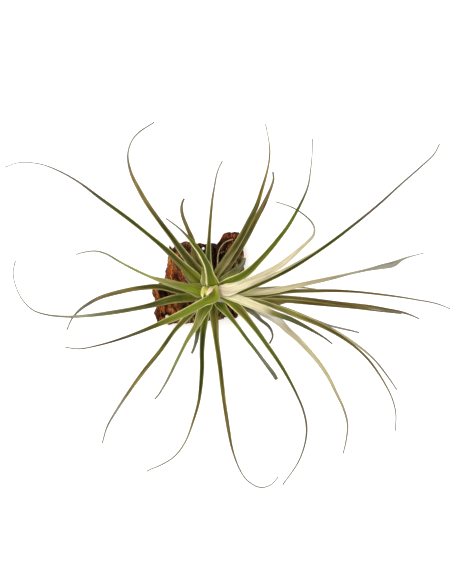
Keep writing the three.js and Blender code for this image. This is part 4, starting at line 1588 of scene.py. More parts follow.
@dataclass
class Stem:
    """The short stem, wrapped in the dry bases of leaves long gone."""

    rosette: Rosette
    sheaths: int = 34
    sheath_height: float = 5.2
    sheath_width: float = 4.2
    sheath_thickness: float = 0.14
    sheath_tip: float = 0.12
    sheath_taper: float = 1.6
    sheath_lean: float = 0.5
    sheath_curl: float = 0.28
    first_z: float = 11.9
    last_z: float = 27.0
    sides: int = 40
    rings: int = 60
    bumpiness: float = 0.035
    tip_rise: float = 0.4
    sunk: float = 0.1
    bud: tuple[tuple[float, float], ...] = (
        (2.9, 29.5), (3.0, 32.5), (2.8, 34.2), (2.3, 35.4), (1.4, 36.2), (0.5, 36.6))

    def sheath(self) -> Piece:
        """One dry leaf base, a small curled scale that stands on its lower edge."""
        columns, levels = 7, 6
        points = []
        for level in range(levels):
            up = level / (levels - 1)
            half = self.sheath_width / 2 * (1 - up**self.sheath_taper) + self.sheath_tip
            for column in range(columns):
                side = column / (columns - 1) * 2 - 1
                out = (self.sunk + self.sheath_lean * up**2
                       - self.sheath_curl * side * side * (1 - up))
                points.append((out, side * half, up * self.sheath_height))
        inner = [(x - self.sheath_thickness, y, z) for x, y, z in points]
        faces: list[tuple[int, ...]] = []
        total = len(points)
        for level in range(levels - 1):
            for column in range(columns - 1):
                a = level * columns + column
                b, c, d = a + 1, a + columns + 1, a + columns
                faces += [(a, b, c, d), (total + a, total + d, total + c, total + b)]
        rim = [*range(columns), *[i * columns + columns - 1 for i in range(1, levels)],
               *[(levels - 1) * columns + i for i in range(columns - 2, -1, -1)],
               *[i * columns for i in range(levels - 2, 0, -1)]]
        for here, there in zip(rim, rim[1:] + rim[:1]):
            faces.append((there, here, total + here, total + there))
        mesh = bpy.data.meshes.new("sheath")
        mesh.from_pydata((np.array(points + inner) * MM).tolist(), [], faces)
        return new_object("sheath", mesh)

    def tree(self, sheath: Piece, core: Piece) -> Tree:
        """Geometry tree that sets sheaths on the guide's points and joins the stem's core.

        Args:
            sheath: the dry leaf base to repeat.
            core: the stem under the sheaths.

        Returns:
            The tree.
        """
        tree, inputs = tree_with_inputs("sheathed stem", {
            "Turn spread": ("NodeSocketFloat", 0.25),
            "Size spread": ("NodeSocketFloat", 0.25),
            "Seed": ("NodeSocketInt", 4),
            "Material": ("NodeSocketMaterial", None),
        })
        item = add_node(tree, "GeometryNodeObjectInfo", {"Object": sheath})
        given = inputs.outputs
        low = calc(tree, "SUBTRACT", 1.0, given["Size spread"])
        high = calc(tree, "ADD", 1.0, given["Size spread"])
        size = add_node(tree, "FunctionNodeRandomValue", {"data_type": "FLOAT"},
                        {2: low, 3: high, "Seed": given["Seed"]})
        sway = add_node(tree, "FunctionNodeRandomValue",
                        {"data_type": "FLOAT", 2: -1.0, 3: 1.0}, {"Seed": given["Seed"]})
        swing = calc(tree, "MULTIPLY", sway.outputs[1], given["Turn spread"])
        extra = add_node(tree, "ShaderNodeCombineXYZ", {}, {2: swing}).outputs[0]
        turned = calc_vector(tree, "ADD", carried(tree, "turn", "FLOAT_VECTOR"), extra)
        rotation = add_node(tree, "FunctionNodeEulerToRotation", links={0: turned})
        placed = add_node(tree, "GeometryNodeInstanceOnPoints",
                          links={"Points": given["Geometry"],
                                 "Instance": item.outputs["Geometry"],
                                 "Rotation": rotation.outputs[0], "Scale": size.outputs[1]})
        middle = add_node(tree, "GeometryNodeObjectInfo", {"Object": core})
        whole = add_node(tree, "GeometryNodeJoinGeometry", links={0: placed.outputs[0]})
        tree.links.new(middle.outputs["Geometry"], whole.inputs[0])
        close_tree(tree, whole.outputs[0], given["Material"])
        return tree

    def build(self, skin: FibreSkin) -> Piece:
        """Makes the stem's core and its sheaths as one piece, in place of the CAD node.

        Args:
            skin: the dry fibre's finish.

        Returns:
            The stem.
        """
        material = skin.material()
        count = self.sides
        radii, heights = zip(*self.rosette.stem_profile[:-2], *self.bud)
        levels = np.linspace(heights[0], heights[-1], self.rings)
        widths = np.interp(levels, heights, radii)
        points = [(0.0, 0.0, heights[0])]
        for width, z in zip(widths, levels):
            for i in range(count):
                turn = 2 * math.pi * i / count
                bumpy = noise.fractal(Vector((math.cos(turn), math.sin(turn), z * 0.5)) * 2.2,
                                      0.9, 2.0, 3)
                reach = width * (1 + self.bumpiness * bumpy)
                points.append((reach * math.cos(turn), reach * math.sin(turn), z))
        points.append((0.0, 0.0, heights[-1] + self.tip_rise))
        core = mesh_object("stem_core", np.array(points),
                           closed_faces(len(levels), count, upward=True), material)

        rows = []
        turns = []
        for i in range(self.sheaths):
            z = self.first_z + (self.last_z - self.first_z) * i / (self.sheaths - 1)
            turn = GOLDEN_ANGLE * i
            radius = self.rosette.stem_radius(z + 1) - self.sunk
            rows.append((radius * math.cos(turn), radius * math.sin(turn), z))
            turns.append((0.0, 0.0, turn))
        sheath = self.sheath()
        guide = guide_object("sheathed_stem", [np.array([row]) for row in rows],
                             {"turn": np.array(turns)})
        grown(guide, self.tree(sheath, core), {"Material": material})
        for scaffold in (sheath, core):
            bpy.data.objects.remove(scaffold)
        return settle(guide, "stem", "stem")


# Leaves: tier, finish, and stations from root to tip

FINE_EDGE = Margin(0.45, 0.95, Tone.PALE_LIME, 0.75)
NO_EDGE = Margin(0.3, 0.9, Tone.SAND, 0.5)

LEAVES = (
    Leaf(1, 10, "leaf_green",
         BladeSkin(Coat.GREEN, left=Margin(0.9, 0.7, Tone.KHAKI, 0.8), right=FINE_EDGE,
                   shade=Tone.DEEP_GREEN),
         ((-3.3, 2.5, 3.6), (-7, 6.1, 5.9), (-11, 10, 5), (-15.5, 14.4, 3.7), (-22, 20.8, 2.8),
          (-29.5, 27.1, 2.1), (-40, 35.5, 2.1), (-55, 46.5, 1.7), (-65, 54, 1.1),
          (-75, 59.7, 0.8), (-85, 63.4, 0.6), (-95.5, 64.1, 0.5), (-102.5, 61.9, 0.5))),
    Leaf(2, 8, "leaf_dark",
         BladeSkin(Coat.GOING_BROWN, line_depth=0.55, left=Margin(0.7, 0.8, Tone.SAND, 0.7),
                   right=Margin(0.6, 0.8, Tone.TAN, 0.7), shade=Tone.DEEP_GREEN),
         ((-2.2, 3.4, 2.6), (-5, 8.6, 5), (-7.8, 12, 4.8), (-10.5, 15.4, 4.3),
          (-14.5, 20.6, 3.4), (-19, 26.8, 2.9), (-25, 34.6, 2.5), (-31.3, 43.6, 2.4),
          (-36.2, 52.1, 2.1), (-39.8, 60.1, 1.6), (-41, 68.7, 0.9), (-38.8, 75.5, 0.8),
          (-35.3, 79.5, 0.8), (-28, 84.4, 0.6))),
    Leaf(3, 6, "leaf_brown",
         BladeSkin(Coat.BROWN, left=NO_EDGE, right=Margin(0.9, 1.0, Tone.YELLOW_GREEN, 0.7),
                   shade=Tone.UMBER),
         ((-1.7, 4.2, 2.2), (-4, 9.5, 3.8), (-7, 16.5, 3.6), (-8.8, 25.7, 2.4), (-11.2, 31.3, 2),
          (-13.6, 37.4, 1.8), (-14.2, 41, 1.6), (-13.9, 44, 1.2), (-12.9, 46.2, 0.8))),
    Leaf(4, 13, "leaf_fresh",
         BladeSkin(Coat.FRESH, line_depth=0.32, left=Margin(1.0, 1.1, Tone.PALE_BUTTER, 0.95),
                   right=FINE_EDGE, shade=Tone.MOSS, shade_strength=0.4),
         ((1.45, 2.8, 6.8), (1, 4.3, 6.5), (0.5, 5.9, 5.7), (-0.1, 7.8, 4.6), (-1.2, 12.2, 3.7),
          (-2.6, 15.1, 3.2), (-4.9, 19.2, 2.7), (-7.6, 22.8, 2.4), (-10.2, 26, 1.8),
          (-14.9, 30.8, 1), (-18.5, 33.7, 0.8), (-21.9, 36.1, 0.6)), clasps=True),
    Leaf(5, 9, "leaf_green",
         BladeSkin(Coat.GOING_BROWN, left=FINE_EDGE, right=Margin(0.5, 0.8, Tone.SAND, 0.7)),
         ((0, 4.4, 2.6), (-0.1, 9, 3.6), (-0.8, 14.5, 3.2), (-0.75, 19.6, 2.6),
          (-0.45, 26.3, 1.9), (0, 33, 1.6), (0.5, 39, 1.45), (1.25, 46.2, 1.25),
          (2.3, 52.5, 0.95), (3.4, 58.3, 0.8), (4.5, 61.5, 0.7), (6.2, 64.9, 0.6))),
    Leaf(6, 7, "leaf_olive",
         BladeSkin(Coat.STRIPED, line_depth=0.7, left=Margin(0.5, 0.9, Tone.GREY_GREEN, 0.8),
                   right=Margin(0.6, 0.7, Tone.TAUPE, 0.7), shade=Tone.UMBER),
         ((1.3, 4.2, 2.4), (3.4, 8.6, 3.8), (8.2, 15.5, 4.1), (14.1, 24.5, 3.3),
          (20.1, 35.9, 2.8), (23.5, 43, 2.3), (25.7, 50, 1.8), (27.8, 57, 1.3), (29.3, 63.5, 1),
          (29.9, 70, 0.8), (29.3, 76, 0.6), (27.8, 83.5, 0.5))),
    Leaf(7, 5, "leaf_brown",
         BladeSkin(Coat.STRIPED, line_depth=0.7, left=Margin(0.7, 0.9, Tone.SILVER_GREEN, 0.8),
                   right=Margin(0.5, 0.8, Tone.TAN, 0.6), shade=Tone.UMBER),
         ((2.7, 3.5, 2.2), (5.5, 7.6, 3.4), (11, 15.5, 3.4), (18, 26.5, 3), (23.3, 36.5, 2.7),
          (27, 43.5, 2.4), (29.3, 48.6, 1.8), (31, 53, 1.4), (31.8, 56, 1.1), (31.5, 59.6, 0.8))),
    Leaf(8, 6, "leaf_silver",
         BladeSkin(Coat.SILVER, line_depth=0.6, left=FINE_EDGE, right=FINE_EDGE, shade=Tone.OLIVE),
         ((3.3, 3.1, 2.4), (5.8, 5.2, 3.2), (10, 7.9, 3.4), (14, 10.9, 3), (16.5, 13.9, 2.1),
          (17.6, 16.6, 0.8))),
    Leaf(9, 10, "leaf_fresh",
         BladeSkin(Coat.FRESH, left=Margin(0.5, 0.75, Tone.PALE_LIME, 0.9), right=FINE_EDGE,
                   shade=Tone.MOSS),
         ((3.5, 2.2, 2.6), (9, 4.4, 4), (15, 6.9, 3.9), (20, 10.3, 3.5), (25, 15.4, 2.8),
          (30, 20.9, 2.5), (33.2, 24.8, 2.3), (39.2, 32.8, 1.9), (45.8, 44.7, 1.3),
          (48.9, 52.3, 1), (50.2, 60.2, 0.7), (51, 68, 0.5), (51.3, 76, 0.5))),
    Leaf(10, 12, "leaf_cream",
         BladeSkin(Coat.CREAM, flush=Tone.OAT, line_depth=0.3, left=NO_EDGE,
                   right=Margin(0.5, 0.6, Tone.SAND, 0.5), shade=Tone.SAND, shade_strength=0.3,
                   scale_cover=0.1),
         ((4.15, 1.9, 2.8), (6, 0.8, 5.4), (8.6, 0.55, 6.5), (11, 1.1, 5.9), (15, 2.5, 5),
          (25, 7.2, 3.8), (35, 12.8, 3.1), (43, 19.3, 2.4), (49.2, 25, 1.8), (51.5, 27.7, 1.4),
          (52.1, 30.5, 1.1), (51, 33.8, 1), (46.6, 38.2, 0.8), (40.8, 41.8, 0.7), (33, 44.5, 0.6)),
         clasps=True),
    Leaf(11, 9, "leaf_dark",
         BladeSkin(Coat.GREEN, left=Margin(2.6, 0.55, Tone.SAND, 0.9), right=FINE_EDGE,
                   shade=Tone.DEEP_GREEN, shade_side=-1),
         ((4.1, 0, 2.2), (9, -0.8, 3), (15, 0, 3.2), (20, 2, 3.3), (30, 6.4, 3.1),
          (40.2, 11.5, 2.8), (50.3, 17.6, 2.2), (60.3, 24.3, 1.8), (72.1, 33.3, 1.5),
          (85, 43.9, 1.2), (95, 53, 1), (104.8, 61.6, 0.85), (112, 68.4, 0.7), (114.8, 73.5, 0.6)),
         ),
    Leaf(12, 8, "leaf_tan",
         BladeSkin(Coat.TAN, flush=Tone.OAT, line_depth=0.3, left=NO_EDGE, right=FINE_EDGE,
                   shade=Tone.TAUPE, shade_side=-1, shade_strength=0.35),
         ((4.2, -0.4, 2), (10, -1.1, 2.4), (18, -1, 2.7), (30, -0.1, 3), (40, 1.9, 2.7),
          (50, 4.1, 2.4), (60, 6.3, 2), (70, 8.7, 1.4), (79, 10.7, 1.6), (85, 12, 2.5),
          (91.5, 13.4, 3), (95.5, 15.5, 1.5), (99, 16.9, 0.9), (107, 19, 0.5))),
    Leaf(13, 6, "leaf_brown",
         BladeSkin(Coat.BROWN, left=Margin(0.5, 0.7, Tone.TAN, 0.8), right=NO_EDGE,
                   shade=Tone.UMBER),
         ((4.5, -0.8, 2), (12, -2.2, 2.4), (24, -2.6, 2.6), (32, -1.2, 2.4), (40, -0.2, 2.2),
          (55, 0.1, 1.8), (63, 0.1, 1.6), (74, -0.5, 1.25), (86, -1.8, 1.15), (95, -3, 0.95),
          (103.5, -4.4, 0.8), (110, -5.5, 0.75), (115, -6.8, 0.65), (120.4, -8.9, 0.5))),
    Leaf(14, 5, "leaf_olive",
         BladeSkin(Coat.BROWN, left=Margin(0.8, 0.95, Tone.TAUPE, 0.9), right=FINE_EDGE,
                   shade=Tone.DARK_OLIVE),
         ((4.5, -1.1, 2), (12, -2.6, 2.3), (22, -2.9, 2.3), (32.5, -2.9, 2.1), (45, -3.7, 2),
          (65, -6.2, 2), (80, -7.9, 2), (89, -9.4, 1.7), (96, -10.6, 1.3), (100.5, -12, 0.9),
          (104.8, -13.9, 0.6))),
    Leaf(15, 3, "leaf_brown",
         BladeSkin(Coat.BROWN, left=FINE_EDGE, right=Margin(0.6, 0.9, Tone.TAN, 0.8),
                   shade=Tone.OLIVE),
         ((4.6, -1.3, 2), (12, -3.1, 2.4), (22, -4.7, 3.3), (30, -5.2, 3.7), (35, -5.3, 3.4),
          (38, -5, 2.3), (45, -5.5, 2.2), (55, -6.6, 1.8), (70, -8.1, 1.4), (85, -10.1, 0.8),
          (96, -11.4, 0.5))),
    Leaf(16, 7, "leaf_fresh",
         BladeSkin(Coat.BROWN, left=FINE_EDGE, right=Margin(1.2, 0.55, Tone.CREAM, 0.9),
                   shade=Tone.MOSS),
         ((4.3, -1.5, 2.2), (12, -3.4, 2.5), (23.5, -5.2, 2.6), (35, -8.9, 2.7),
          (45, -12.8, 2.9), (55, -17, 2.2), (65, -22.5, 1.7), (73, -28.3, 1.3), (80, -35.3, 1.2),
          (87.3, -46.1, 0.9), (91.2, -54, 0.75), (93, -61.5, 0.65), (92.8, -70, 0.5))),
    Leaf(17, 0, "leaf_tan",
         BladeSkin(Coat.HIDDEN, shade=Tone.DRAB),
         ((4.5, -1.5, 1.8), (12, -3.3, 2), (23.5, -5.6, 2), (45, -12.2, 1.8), (55, -16.2, 1.6),
          (65, -21.2, 1.4), (75, -28, 1.2), (82.5, -34.5, 1), (90.1, -44.1, 0.8),
          (93.8, -49.6, 0.6))),
    Leaf(18, 1, "leaf_dark",
         BladeSkin(Coat.HIDDEN, shade=Tone.DARK_GREEN),
         ((4.5, -1.4, 1.8), (12, -3.2, 2), (23.5, -5.2, 2), (37.5, -8.9, 1.9), (54, -15.2, 1.4),
          (60, -17.3, 1.1), (66, -18.8, 1), (70.6, -19.8, 0.9), (74.9, -20.9, 0.6)),
         tip_slope=-0.1),
    Leaf(19, 11, "leaf_cream",
         BladeSkin(Coat.CREAM_THEN_GREEN, flush=Tone.OAT, line_depth=0.25,
                   left=Margin(0.4, 0.9, Tone.CREAM, 0.7),
                   right=Margin(0.5, 0.9, Tone.PALE_LIME, 0.6), shade=Tone.STRAW,
                   shade_strength=0.2, scale_cover=0.04),
         ((3.9, -1.1, 2.8), (8, -2.1, 3.6), (14, -4, 4.2), (20, -6.3, 4.3), (26, -8.8, 3.7),
          (32, -11.2, 3), (40, -14, 2.5), (50, -19.1, 1.6), (55, -22, 1.1), (58.3, -24.2, 0.9),
          (61, -26.4, 0.6))),
    Leaf(20, 2, "leaf_tan",
         BladeSkin(Coat.CREAM_THEN_TAN, flush=Tone.OAT, line_depth=0.3,
                   left=Margin(0.5, 0.8, Tone.TAN, 0.8), right=Margin(0.6, 0.8, Tone.CREAM, 0.8),
                   shade=Tone.SAND, shade_strength=0.3, scale_cover=0.08),
         ((4.4, -1.8, 2), (12, -4.4, 2.6), (20, -7.6, 3.4), (28, -11.2, 4.4), (34.4, -15.2, 4.1),
          (39, -19.7, 3.3), (44.4, -24.5, 2.8), (53.4, -34.5, 2.2), (59, -42.5, 1.9),
          (63.5, -51.5, 1.5), (67.1, -59.3, 1.25), (69, -67, 1), (68.3, -75, 0.8),
          (67.1, -80.5, 0.6), (66.9, -81.6, 0.5))),
    Leaf(21, 4, "leaf_dark",
         BladeSkin(Coat.GREY, left=Margin(1.5, 0.9, Tone.LILAC, 0.85), right=FINE_EDGE,
                   shade=Tone.DARK_OLIVE),
         ((4.2, -2.3, 1.8), (10, -4.9, 2.8), (16, -7, 3.5), (22, -10.9, 3.1), (25.6, -14.6, 1.9),
          (28.9, -17.2, 1.6), (30.8, -20, 1.2), (31.3, -23, 0.9), (29.8, -26.3, 0.8))),
    Leaf(22, 10, "leaf_fresh",
         BladeSkin(Coat.GREEN, left=Margin(0.5, 0.9, Tone.SAND, 0.7),
                   right=Margin(0.6, 0.7, Tone.PALE_LIME, 0.85), shade=Tone.MOSS),
         ((3.4, -2, 2), (6.8, -3.6, 2.7), (11.2, -6.3, 3.9), (15.2, -9.7, 4.4), (19, -14.2, 3.4),
          (23.1, -19.5, 2.7), (27, -24.9, 2.4), (33.9, -34.8, 2), (37.6, -40.8, 1.7),
          (42.7, -50.4, 1.3), (46.7, -60, 1.15), (48.2, -68.3, 1.1), (47.3, -76.5, 0.9),
          (43.9, -85.7, 0.75), (36.4, -96.8, 0.6))),
    Leaf(23, 9, "leaf_fresh",
         BladeSkin(Coat.FRESH, left=Margin(7, 0.125, Tone.FROST, 0.95),
                   right=Margin(0.5, 1.1, Tone.PALE_LIME, 0.8), shade=Tone.MOSS),
         ((2.3, -3.2, 3), (4.6, -6.2, 4.8), (8, -10.4, 3.4), (11.6, -14.8, 2.3),
          (15.1, -19.4, 1.9), (18.7, -24.3, 1.8), (22.6, -29.2, 1.7), (26.1, -33.9, 1.8),
          (29.8, -38.8, 2), (31.9, -41.7, 2.1), (33.3, -44.2, 1.5))),
    Leaf(24, 8, "leaf_olive",
         BladeSkin(Coat.GOING_BROWN, line_depth=0.6, left=Margin(0.9, 0.8, Tone.KHAKI, 0.8),
                   right=FINE_EDGE, shade=Tone.DARK_OLIVE),
         ((0.7, -4.1, 2.6), (1.5, -7.5, 4), (2.2, -14.5, 4.2), (3.2, -24.5, 2.9),
          (4.9, -37, 2.5), (6.2, -48, 2.3), (7.2, -56, 2.1), (9.3, -69.5, 1.8),
          (11.3, -79.5, 1.2), (14.8, -89, 0.8), (18.5, -94.5, 0.7), (25, -98.2, 0.7),
          (30.3, -97, 0.6), (34.2, -93, 0.5))),
    Leaf(25, 6, "leaf_dark",
         BladeSkin(Coat.DARK, left=FINE_EDGE, right=Margin(0.9, 0.7, Tone.GREY_GREEN, 0.8),
                   shade=Tone.DEEP_GREEN),
         ((-0.7, -4.4, 2.4), (-1.6, -9.5, 3.4), (-3.3, -19.5, 3.2), (-4, -29.5, 2.6),
          (-4, -39.5, 2.4), (-5.5, -54.5, 1.7), (-8.2, -64.4, 1.3), (-12.4, -75.5, 0.9),
          (-17.5, -82.5, 0.75), (-24, -86.8, 0.7), (-30, -89.4, 0.6), (-31.7, -90.3, 0.6))),
    Leaf(26, 4, "leaf_dark",
         BladeSkin(Coat.FRESH, shade=Tone.MOSS),
         ((-1.2, -4.6, 2), (-3.4, -13, 2.4), (-6, -20, 2.1), (-6.8, -24.5, 2),
          (-7.6, -27.4, 1.5), (-8.5, -29.8, 1.3), (-9.2, -31.3, 0.9))),
    Leaf(27, 11, "leaf_silver",
         BladeSkin(Coat.SILVER, left=Margin(0.5, 0.8, Tone.PALE_LIME, 0.75),
                   right=Margin(0.5, 0.8, Tone.PALE_LIME, 0.75), shade=Tone.GRASS),
         ((-0.35, -2.5, 3), (-1.3, -6.2, 5.8), (-3.8, -10.5, 5.4), (-7, -17.5, 3.2),
          (-11.4, -24.5, 2.1), (-13.7, -29, 1.7), (-16.4, -34.5, 1.6), (-21.3, -44.5, 1.25),
          (-23.9, -49, 1), (-25.8, -52, 0.85), (-27.5, -53.9, 0.7)), clasps=True),
    Leaf(28, 7, "leaf_dark",
         BladeSkin(Coat.GOING_BROWN, line_depth=0.55, left=Margin(0.5, 0.8, Tone.SAND, 0.7),
                   right=Margin(0.6, 0.8, Tone.CREAM, 0.7), shade=Tone.MOSS),
         ((-2.8, -3, 2.6), (-6, -6.6, 4), (-11, -12.5, 3.4), (-17.5, -19.5, 2.3),
          (-24.7, -29.6, 2.2), (-32.5, -39.3, 2.1), (-39.9, -49.4, 1.7), (-46.6, -59.5, 1.3),
          (-51.5, -68, 0.9), (-53.9, -76, 0.6))),
    Leaf(29, 14, "leaf_fresh",
         BladeSkin(Coat.YOUNG, line_depth=0.32,
                   left=Margin(0.45, 0.9, Tone.PALE_LIME, 0.85, start=0.11),
                   right=Margin(0.55, 0.9, Tone.PALE_LIME, 0.85), shade=Tone.GRASS,
                   shade_strength=0.25, rim=Margin(0.38, 0.9, Tone.PALE_LIME, 0.7, start=0.1)),
         ((3.4, 2.85, 0.9), (2.9, 1.6, 2.4), (2.45, 0, 4.2), (1.9, -2.4, 6.5), (0.6, -4.1, 5),
          (-2.3, -5.15, 4.2), (-6, -7.2, 4), (-14, -11.5, 3.9), (-25, -16.3, 2.6),
          (-35, -20.4, 1.8), (-45, -24, 1.3), (-55, -26.9, 0.9), (-65, -28.8, 0.7),
          (-72, -28.1, 0.6)), clasps=True),
    Leaf(30, 9, "leaf_silver",
         BladeSkin(Coat.GREY, line_depth=0.6, left=Margin(0.9, 0.7, Tone.KHAKI, 0.8),
                   right=Margin(0.4, 0.4, Tone.DARK_OLIVE, 0.6), shade=Tone.MOSS),
         ((-4, -1.2, 2.8), (-8, -2.8, 4.4), (-18, -4, 4.2), (-30, -7.2, 2.8), (-37, -8.7, 2.4),
          (-48, -10.6, 2.3), (-60, -12.2, 1.8), (-70, -12.8, 1.3), (-81, -11.9, 0.9),
          (-88.3, -9.5, 0.7), (-93.4, -4.7, 0.6), (-97, 2.3, 0.5), (-98.4, 9, 0.5),
          (-97.4, 15, 0.5))),
    Leaf(31, 6, "leaf_dark",
         BladeSkin(Coat.GOING_BROWN, left=Margin(0.4, 0.8, Tone.TAUPE, 0.6),
                   right=Margin(0.6, 0.8, Tone.KHAKI, 0.8), shade=Tone.DARK_OLIVE),
         ((-4.4, -0.4, 2.2), (-9, -1, 2.6), (-14.5, -0.5, 2.5), (-25, 2.1, 2.9), (-35, 1.5, 2.5),
          (-45, -0.4, 2.3), (-55, -3.3, 2), (-60, -5.9, 1.8), (-65, -9.3, 1.4),
          (-69, -13.7, 0.9), (-71.7, -19.4, 0.6))),
    Leaf(32, 12, "leaf_silver",
         BladeSkin(Coat.SILVER, left=Margin(0.5, 0.6, Tone.SILVER_GREEN, 0.6),
                   right=Margin(0.9, 0.35, Tone.OLIVE, 0.6), shade=Tone.FRESH),
         ((-3.8, 0.1, 5.4), (-5.5, 0.2, 7.2), (-9, 1.1, 5.4), (-13, 2.1, 4.3), (-17.5, 3.2, 3.6),
          (-22.4, 4.7, 3.1), (-25.7, 5.7, 2.3), (-29.5, 7, 1.5), (-37, 10.4, 1.3),
          (-45.3, 14.8, 1.1), (-51.7, 18.5, 1), (-57, 19.9, 0.8), (-62.9, 19.3, 0.7),
          (-66.9, 18.2, 0.5)), clasps=True),
    Leaf(33, 4, "leaf_silver",
         BladeSkin(Coat.TAN, shade=Tone.KHAKI),
         ((4.5, 0.1, 1.4), (12, 0.3, 2), (25, 1, 1.9), (35, 1.6, 1.7), (45, 1.8, 1), (53, 1, 0.5)),
         ),
    Leaf(34, 7, "leaf_dark",
         BladeSkin(Coat.DARK, left=Margin(0.5, 0.9, Tone.CREAM, 0.8), right=FINE_EDGE,
                   shade=Tone.DARK_GREEN),
         ((-3.7, 1.7, 2.6), (-7, 3.9, 4.2), (-9.7, 6.4, 4.3), (-12, 9.5, 3.6),
          (-14.6, 13.2, 2.6), (-19, 18, 1.6), (-24, 22.6, 0.5))),
    Leaf(35, 11, "leaf_fresh",
         BladeSkin(Coat.YOUNGEST, left=Margin(0.5, 0.9, Tone.IVORY, 0.8), right=FINE_EDGE,
                   shade=Tone.YELLOW_GREEN, flush=Tone.LEMON, shade_strength=0.3),
         ((-2.8, 3, 2), (-3.65, 4.6, 2.2), (-3.55, 6.6, 1.7), (-3.6, 9.2, 1.1), (-3.5, 12, 0.8),
          (-3.6, 15.5, 0.5)), clasps=True),
)

HEART_ROUGHNESS = 0.42
CRESCENT_EDGE = Margin(0.32, 1.2, Tone.PALE_BUTTER, 0.9)
STRIPE_EDGE = Margin(0.36, 1.2, Tone.PALE_BUTTER, 0.9)
CRESCENT_SKIN = BladeSkin(
    Coat.CRESCENT, left=CRESCENT_EDGE, right=CRESCENT_EDGE, flush=Tone.LEMON,
    shade=Tone.YELLOW_GREEN, shade_strength=0.4, roughness=HEART_ROUGHNESS)
STRIPE_SKIN = BladeSkin(
    Coat.STRIPE, left=STRIPE_EDGE, right=STRIPE_EDGE, flush=Tone.PALE_LIME, shade=Tone.BLUSH,
    shade_strength=0.5, roughness=HEART_ROUGHNESS)
INNER_SKIN = BladeSkin(
    Coat.INNER, left=Margin(0.25, 1.2, Tone.PALE_BUTTER, 0.8),
    right=Margin(0.25, 1.2, Tone.PALE_LIME, 0.8), flush=Tone.LEMON, shade=Tone.YELLOW_GREEN,
    shade_strength=0.3, roughness=HEART_ROUGHNESS)

HEART_LEAVES = (
    HeartLeaf(1, "heart", CRESCENT_SKIN,
              ((-1.6, -0.3, 32, 1), (-2.35, 0.9, 36, 1.1), (-3.05, 1.65, 39.2, 1.5),
               (-3.75, -0.3, 41.2, 1.7), (-3.85, -2.1, 42.4, 1.5), (-3.55, -3.7, 43, 0.6))),
    HeartLeaf(2, "heart_pale", STRIPE_SKIN,
              ((0.7, 1.5, 32.2, 1), (0.75, 1.5, 35.5, 1), (0.7, 1.3, 38.6, 1.7),
               (-0.1, 0.2, 41, 2.1), (-1.05, -1.15, 42.6, 1.6), (-1.8, -2.35, 43.2, 0.6))),
    HeartLeaf(3, "heart_pale", INNER_SKIN,
              ((-0.6, 1.1, 32.3, 1), (-1, 1.5, 35.4, 1.3), (-1.35, 1.6, 38.2, 2),
               (-1.95, 0.7, 40.2, 1.9), (-2.3, -0.5, 41.2, 1.6), (-2.35, -1.9, 41.6, 0.6))),
)

# Sapwood, cream or bleached: small bright discs on the dark bark
PINS = [
    Pin("bark_pin_lower", (-21.5, -13.0), 1.0, 1.1,
        FibreSkin("pale sapwood", "#d8c4a8", "#b89c7c")),
    Pin("bark_pin_upper", (-3.4, 21.3), 0.7, 0.9,
        FibreSkin("bleached sapwood", "#efe6e4", "#cfc2be")),
]

ROOTS = (
    Root("root_top", ((1.6, 5.2), (3.2, 9), (3.8, 14), (3.9, 17), (4.6, 20.5), (6.5, 23.5),
                      (9, 25.2), (11.5, 26)), rootlets=1, bleached=True),
    Root("root_left", ((-4.9, 2.2), (-8, 4.5), (-12, 5), (-15.5, 8), (-17, 13))),
    Root("root_lower", ((-2.6, -4.7), (-5, -8), (-9.5, -9.5), (-13, -12.5))),
    Root("root_right", ((5, -2), (8, -4.4), (11, -3.4), (13.2, -6.5))),
)


# Studio


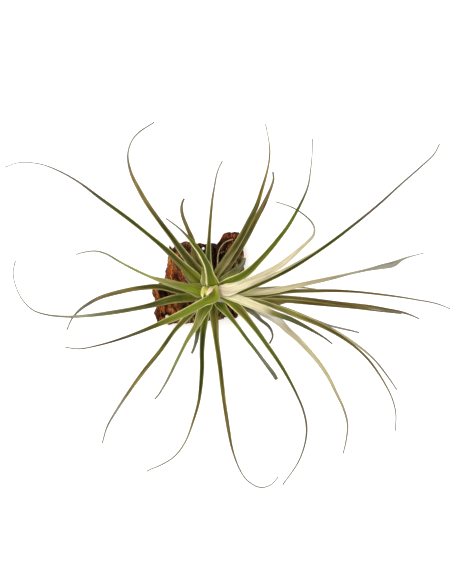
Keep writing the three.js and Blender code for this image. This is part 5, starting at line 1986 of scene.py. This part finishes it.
@dataclass
class Studio:
    """White paper floor, soft light from all round, and the camera straight above."""

    plant_z: float = 35.0
    view_width: float = 226.0
    centre: tuple[float, float] = (8.0, -0.5)
    camera_height: float = 5.0
    sensor: float = 36.0
    floor_size: float = 60.0
    sky: str = "#ffffff"
    sky_strength: float = 0.9
    far_clip: float = 100.0
    lights: tuple[tuple[str, tuple[float, float, float], float, float], ...] = (
        ("key", (-0.9, 0.8, 1.6), 1.2, 26), ("fill", (1.2, -0.8, 1.5), 1.5, 9))

    def camera(self) -> None:
        """Sets the camera so that the plant fills the frame as in the photo."""
        data = bpy.data.cameras.new("camera")
        view_height = self.view_width * PHOTO_HEIGHT / PHOTO_WIDTH
        away = self.camera_height - self.plant_z * MM
        data.sensor_width = self.sensor
        data.lens = self.sensor * away / (view_height * MM)
        data.clip_end = self.far_clip
        made = bpy.data.objects.new("camera", data)
        bpy.context.scene.collection.objects.link(made)
        made.location = (self.centre[0] * MM, self.centre[1] * MM, self.camera_height)
        bpy.context.scene.camera = made

    def light(self, name: str, place: tuple[float, float, float], size: float,
              power: float) -> None:
        """Adds a soft square light that points at the plant.

        Args:
            name: the light's name.
            place: where it hangs, in metres.
            size: its side, in metres.
            power: its power in watts.
        """
        data = bpy.data.lights.new(name, "AREA")
        data.shape = "SQUARE"
        data.size = size
        data.energy = power
        made = bpy.data.objects.new(name, data)
        bpy.context.scene.collection.objects.link(made)
        made.location = place
        made.rotation_euler = (-Vector(place)).to_track_quat("-Z", "Y").to_euler()
        made.visible_camera = False

    def build(self) -> None:
        """Makes floor, sky, lights and camera."""
        half = self.floor_size / 2
        corners = np.array([(-half, -half, 0), (half, -half, 0), (half, half, 0),
                            (-half, half, 0)]) / MM
        floor = mesh_object("floor", corners, [(0, 1, 2, 3)], StudioSkin().material())
        world = bpy.data.worlds.new("studio")
        bpy.context.scene.world = world
        world.use_nodes = True
        background = world.node_tree.nodes["Background"]
        background.inputs["Color"].default_value = linear(self.sky)
        background.inputs["Strength"].default_value = self.sky_strength
        for light in self.lights:
            self.light(*light)
        bpy.context.scene.view_settings.view_transform = "Standard"
        self.camera()


def main() -> None:
    """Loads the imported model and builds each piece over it."""
    logging.basicConfig(level=logging.INFO, format="%(name)s %(message)s")
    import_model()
    rosette = Rosette()
    blades = BladeTree()
    tubes = TubeTree()
    bark = Bark()
    bark.build(PINS)
    for pin in PINS:
        pin.build(bark)
    # Dry roots: a pale line over the dark bark, and old brown ones that sink into it
    pale_root = FibreSkin("dry root", "#c4a676", "#7a5c38").material()
    dark_root = FibreSkin("old root", "#5e3d22", "#2e1a0e").material()
    for root in ROOTS:
        root.build(bark, tubes, pale_root if root.bleached else dark_root)
    # Dry leaf bases: straw-coloured scales that turn to live green at the heart, painted light
    # there against the shade
    Stem(rosette).build(FibreSkin("dry leaf base", "#b49c6e", "#5c4a2c", green_from=26.0))
    for leaf in LEAVES:
        leaf.build(rosette, blades)
    for young in HEART_LEAVES:
        young.build(blades)
    Studio().build()
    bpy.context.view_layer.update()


if __name__ == "__main__":
    main()
